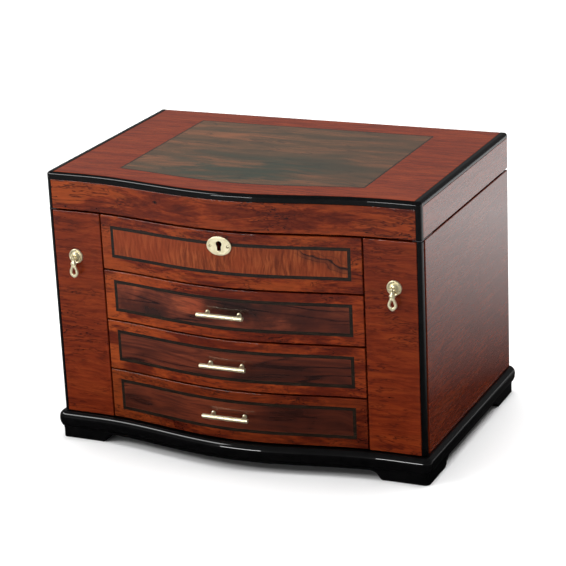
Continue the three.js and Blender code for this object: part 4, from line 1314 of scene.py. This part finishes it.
def make_screws(name, body, radius, facing, spots, metal="brass"):
    """Countersunk screws with cross slots, whose heads face up, down or back."""
    turn = {"up": 0.0, "down": math.pi, "back": -QUARTER}[facing]
    half_length, half_width = 0.65 * radius, 0.13 * radius
    heads = []
    for index, spot in enumerate(spots):
        head = revolve([
            (0, -0.4 * radius), (radius, -0.25 * MM), (radius, 0.02 * MM), (0.8 * radius, 0.1 * MM),
            (0, 0.14 * MM)], 24)
        angle = 0.6 + 1.1 * index
        for quarter in (0, QUARTER):
            groove = block((-half_length, -half_width, -0.12 * MM), (half_length, half_width, MM))
            groove.transform(Matrix.Rotation(angle + quarter, 4, "Z"))
            head = cut(head, groove)
        heads.append(posed(head, spot, "X", turn))
    place(name, joined(*heads), {"brass": BRASS, "steel": STEEL}[metal], body, metal)


def make_fittings():
    """The linings and catches behind the doors, and the screws of the metal fittings."""
    make_bay_linings()
    make_catches()
    strike_low, strike_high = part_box("lock_strike")
    lock_y = (strike_low.y + strike_high.y) / 2
    lock_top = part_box("lock_case")[1].z
    make_screws(
        "lock_screws", "carcase", 1.5 * MM, "up", [(x, lock_y, lock_top) for x in (-16.6 * MM, 16.6 * MM)])
    make_screws(
        "strike_screws", "lid", 1.4 * MM, "down", [(x, lock_y, strike_low.z) for x in (-9.2 * MM, 9.2 * MM)])
    leaf = CLEAR + 0.5 * MM
    for label in SIDES:
        low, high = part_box(f"hinge_fixed_leaf_{label}")
        middle = (low.x + high.x) / 2
        hinge_y = low.y + 4.4 * MM
        xs = (middle - 18 * MM, middle, middle + 18 * MM)
        make_screws(
            f"hinge_fixed_screws_{label}", "carcase", 1.6 * MM, "up",
            [(x, hinge_y, RIM + leaf) for x in xs])
        make_screws(
            f"hinge_lid_screws_{label}", "lid", 1.6 * MM, "down",
            [(x, hinge_y, LID_BOTTOM - leaf) for x in xs])
        low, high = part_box(f"door_pivot_plate_{label}")
        middle = (low.x + high.x) / 2
        make_screws(
            f"pivot_plate_screws_{label}", "carcase", 1.6 * MM, "up",
            [(middle, high.y - back, high.z) for back in (5 * MM, 15 * MM)], "steel")
        low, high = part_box(f"door_hook_rail_{label}")
        middle = (low.x + high.x) / 2
        make_screws(
            f"hook_rail_screws_{label}", f"door_{label}", 1.3 * MM, "back",
            [(middle + offset, low.y + 2 * MM, low.z + 3 * MM) for offset in (-12.75 * MM, 12.75 * MM)])


# ---- Camera, lights and floor ----

CAMERA = {"azimuth": 24.65, "elevation": 19.11, "roll": -2.66, "distance": 2.2216, "lens": 136.2}
SHIFT = (-0.0048, 0.0118)         # frames the chest as it is framed in the picture


def direction(azimuth, elevation):
    """From the object towards a point seen at an azimuth (0 in front, 90 right) and an elevation."""
    a, e = math.radians(azimuth), math.radians(elevation)
    return Vector((math.sin(a) * math.cos(e), -math.cos(a) * math.cos(e), math.sin(e)))


def aim(thing, at, roll=0.0):
    """Turns a camera or a light to look at a point."""
    look = (at - thing.location).to_track_quat("-Z", "Y").to_matrix().to_4x4()
    tilt = Matrix.Rotation(math.radians(roll), 4, "Z")
    thing.matrix_world = Matrix.Translation(thing.location) @ look @ tilt


def make_camera():
    """The camera, on the front right and a little above the lid."""
    target = Vector((0, MIDDLE_Y, PLINTH_TOP + (RIM - PLINTH_TOP) / 2 + 0.45 * MM))
    data = bpy.data.cameras.new("camera")
    data.lens = CAMERA["lens"]
    data.shift_x, data.shift_y = SHIFT
    data.clip_start = 0.05
    camera = new_object("camera", data)
    camera.location = target + direction(CAMERA["azimuth"], CAMERA["elevation"]) * CAMERA["distance"]
    aim(camera, target, CAMERA["roll"])
    bpy.context.scene.camera = camera


def softbox(name, azimuth, elevation, distance, size, power):
    """A rectangular area light that looks at the chest."""
    data = bpy.data.lights.new(name, "AREA")
    data.shape = "RECTANGLE"
    data.size, data.size_y = size
    data.energy = power
    light = new_object(name, data)
    target = Vector((0, 0, CAD_HIGH.z / 2))
    light.location = target + direction(azimuth, elevation) * distance
    aim(light, target)


def make_floor():
    """White paper with painted shade that only gloss shows: the lacquer sees it darker near the chest and in
    front of it.
    """
    half = 8
    sheet = prism([(-half, -half), (half, -half), (half, half), (-half, half)], -0.02, 0.0)
    look = Look("floor_paper", Roughness=1.0, Specular_IOR_Level=0.0)
    cloud = look.noise(look.place, (2, 2, 2), 2)
    paper = look.between(cloud, (0.91, 0.91, 0.91), (0.93, 0.93, 0.93))
    reach = {"From Min": 0.28, "From Max": 0.87, "To Min": 0.02, "To Max": 0.85}
    away = look.node("ShaderNodeMapRange", {"Value": look.length(look.place), **reach}).outputs[0]
    behind = look.span(look.part(look.place, "Y"), -0.2, 0.1, 0.14, 1.0)
    # Painted shade for reflections only: glossy rays see the paper darker near the chest and towards the
    # front.
    seen_in_gloss = look.node("ShaderNodeLightPath").outputs["Is Glossy Ray"]
    look.colour = look.mix(seen_in_gloss, paper, look.times(away, behind))
    sheet.materials.append(look.finished())
    floor = new_object("floor", sheet)


def make_studio():
    """The floor, a sky that is white to the camera, two softboxes, and a high sun that gloss doesn't show."""
    make_floor()
    world = bpy.data.worlds.new("studio")
    world.use_nodes = True
    nodes, links = world.node_tree.nodes, world.node_tree.links
    split = nodes.new("ShaderNodeSeparateXYZ")
    climb = nodes.new("ShaderNodeMapRange")
    climb.interpolation_type = "SMOOTHSTEP"
    for name, value in {"From Min": 0.30, "From Max": 0.80, "To Min": 0.16, "To Max": 0.12}.items():
        climb.inputs[name].default_value = value
    backdrop = nodes.new("ShaderNodeMath")
    backdrop.operation = "MAXIMUM"
    background = nodes["Background"]
    background.inputs["Color"].default_value = (1, 1, 1, 1)
    links.new(nodes.new("ShaderNodeTexCoord").outputs["Generated"], split.inputs[0])
    links.new(split.outputs["Z"], climb.inputs["Value"])
    links.new(climb.outputs[0], backdrop.inputs[0])
    links.new(nodes.new("ShaderNodeLightPath").outputs["Is Camera Ray"], backdrop.inputs[1])
    links.new(backdrop.outputs[0], background.inputs["Strength"])
    bpy.context.scene.world = world
    softbox("key", -52, 33, 2.4, (1.7, 0.45), 30)
    softbox("front_fill", -18, 0.5, 2.3, (0.7, 0.15), 12)
    overhead = bpy.data.lights.new("overhead", "SUN")
    overhead.energy = 4.3
    overhead.angle = math.radians(60)
    lamp = new_object("overhead", overhead)
    lamp.location = direction(170, 79) * 3
    lamp.visible_glossy = False
    aim(lamp, Vector((0, 0, 0)))


def set_view():
    """Colours are shown as they are rendered."""
    settings = bpy.context.scene.view_settings
    settings.view_transform = "Standard"
    settings.look = "None"


# ---- Assembly ----

make_camera()
make_studio()
set_view()
make_plinth()
make_carcase()
make_lock_panel()
make_escutcheon()
make_drawers()
make_doors()
make_lid()
make_tray()
make_fittings()
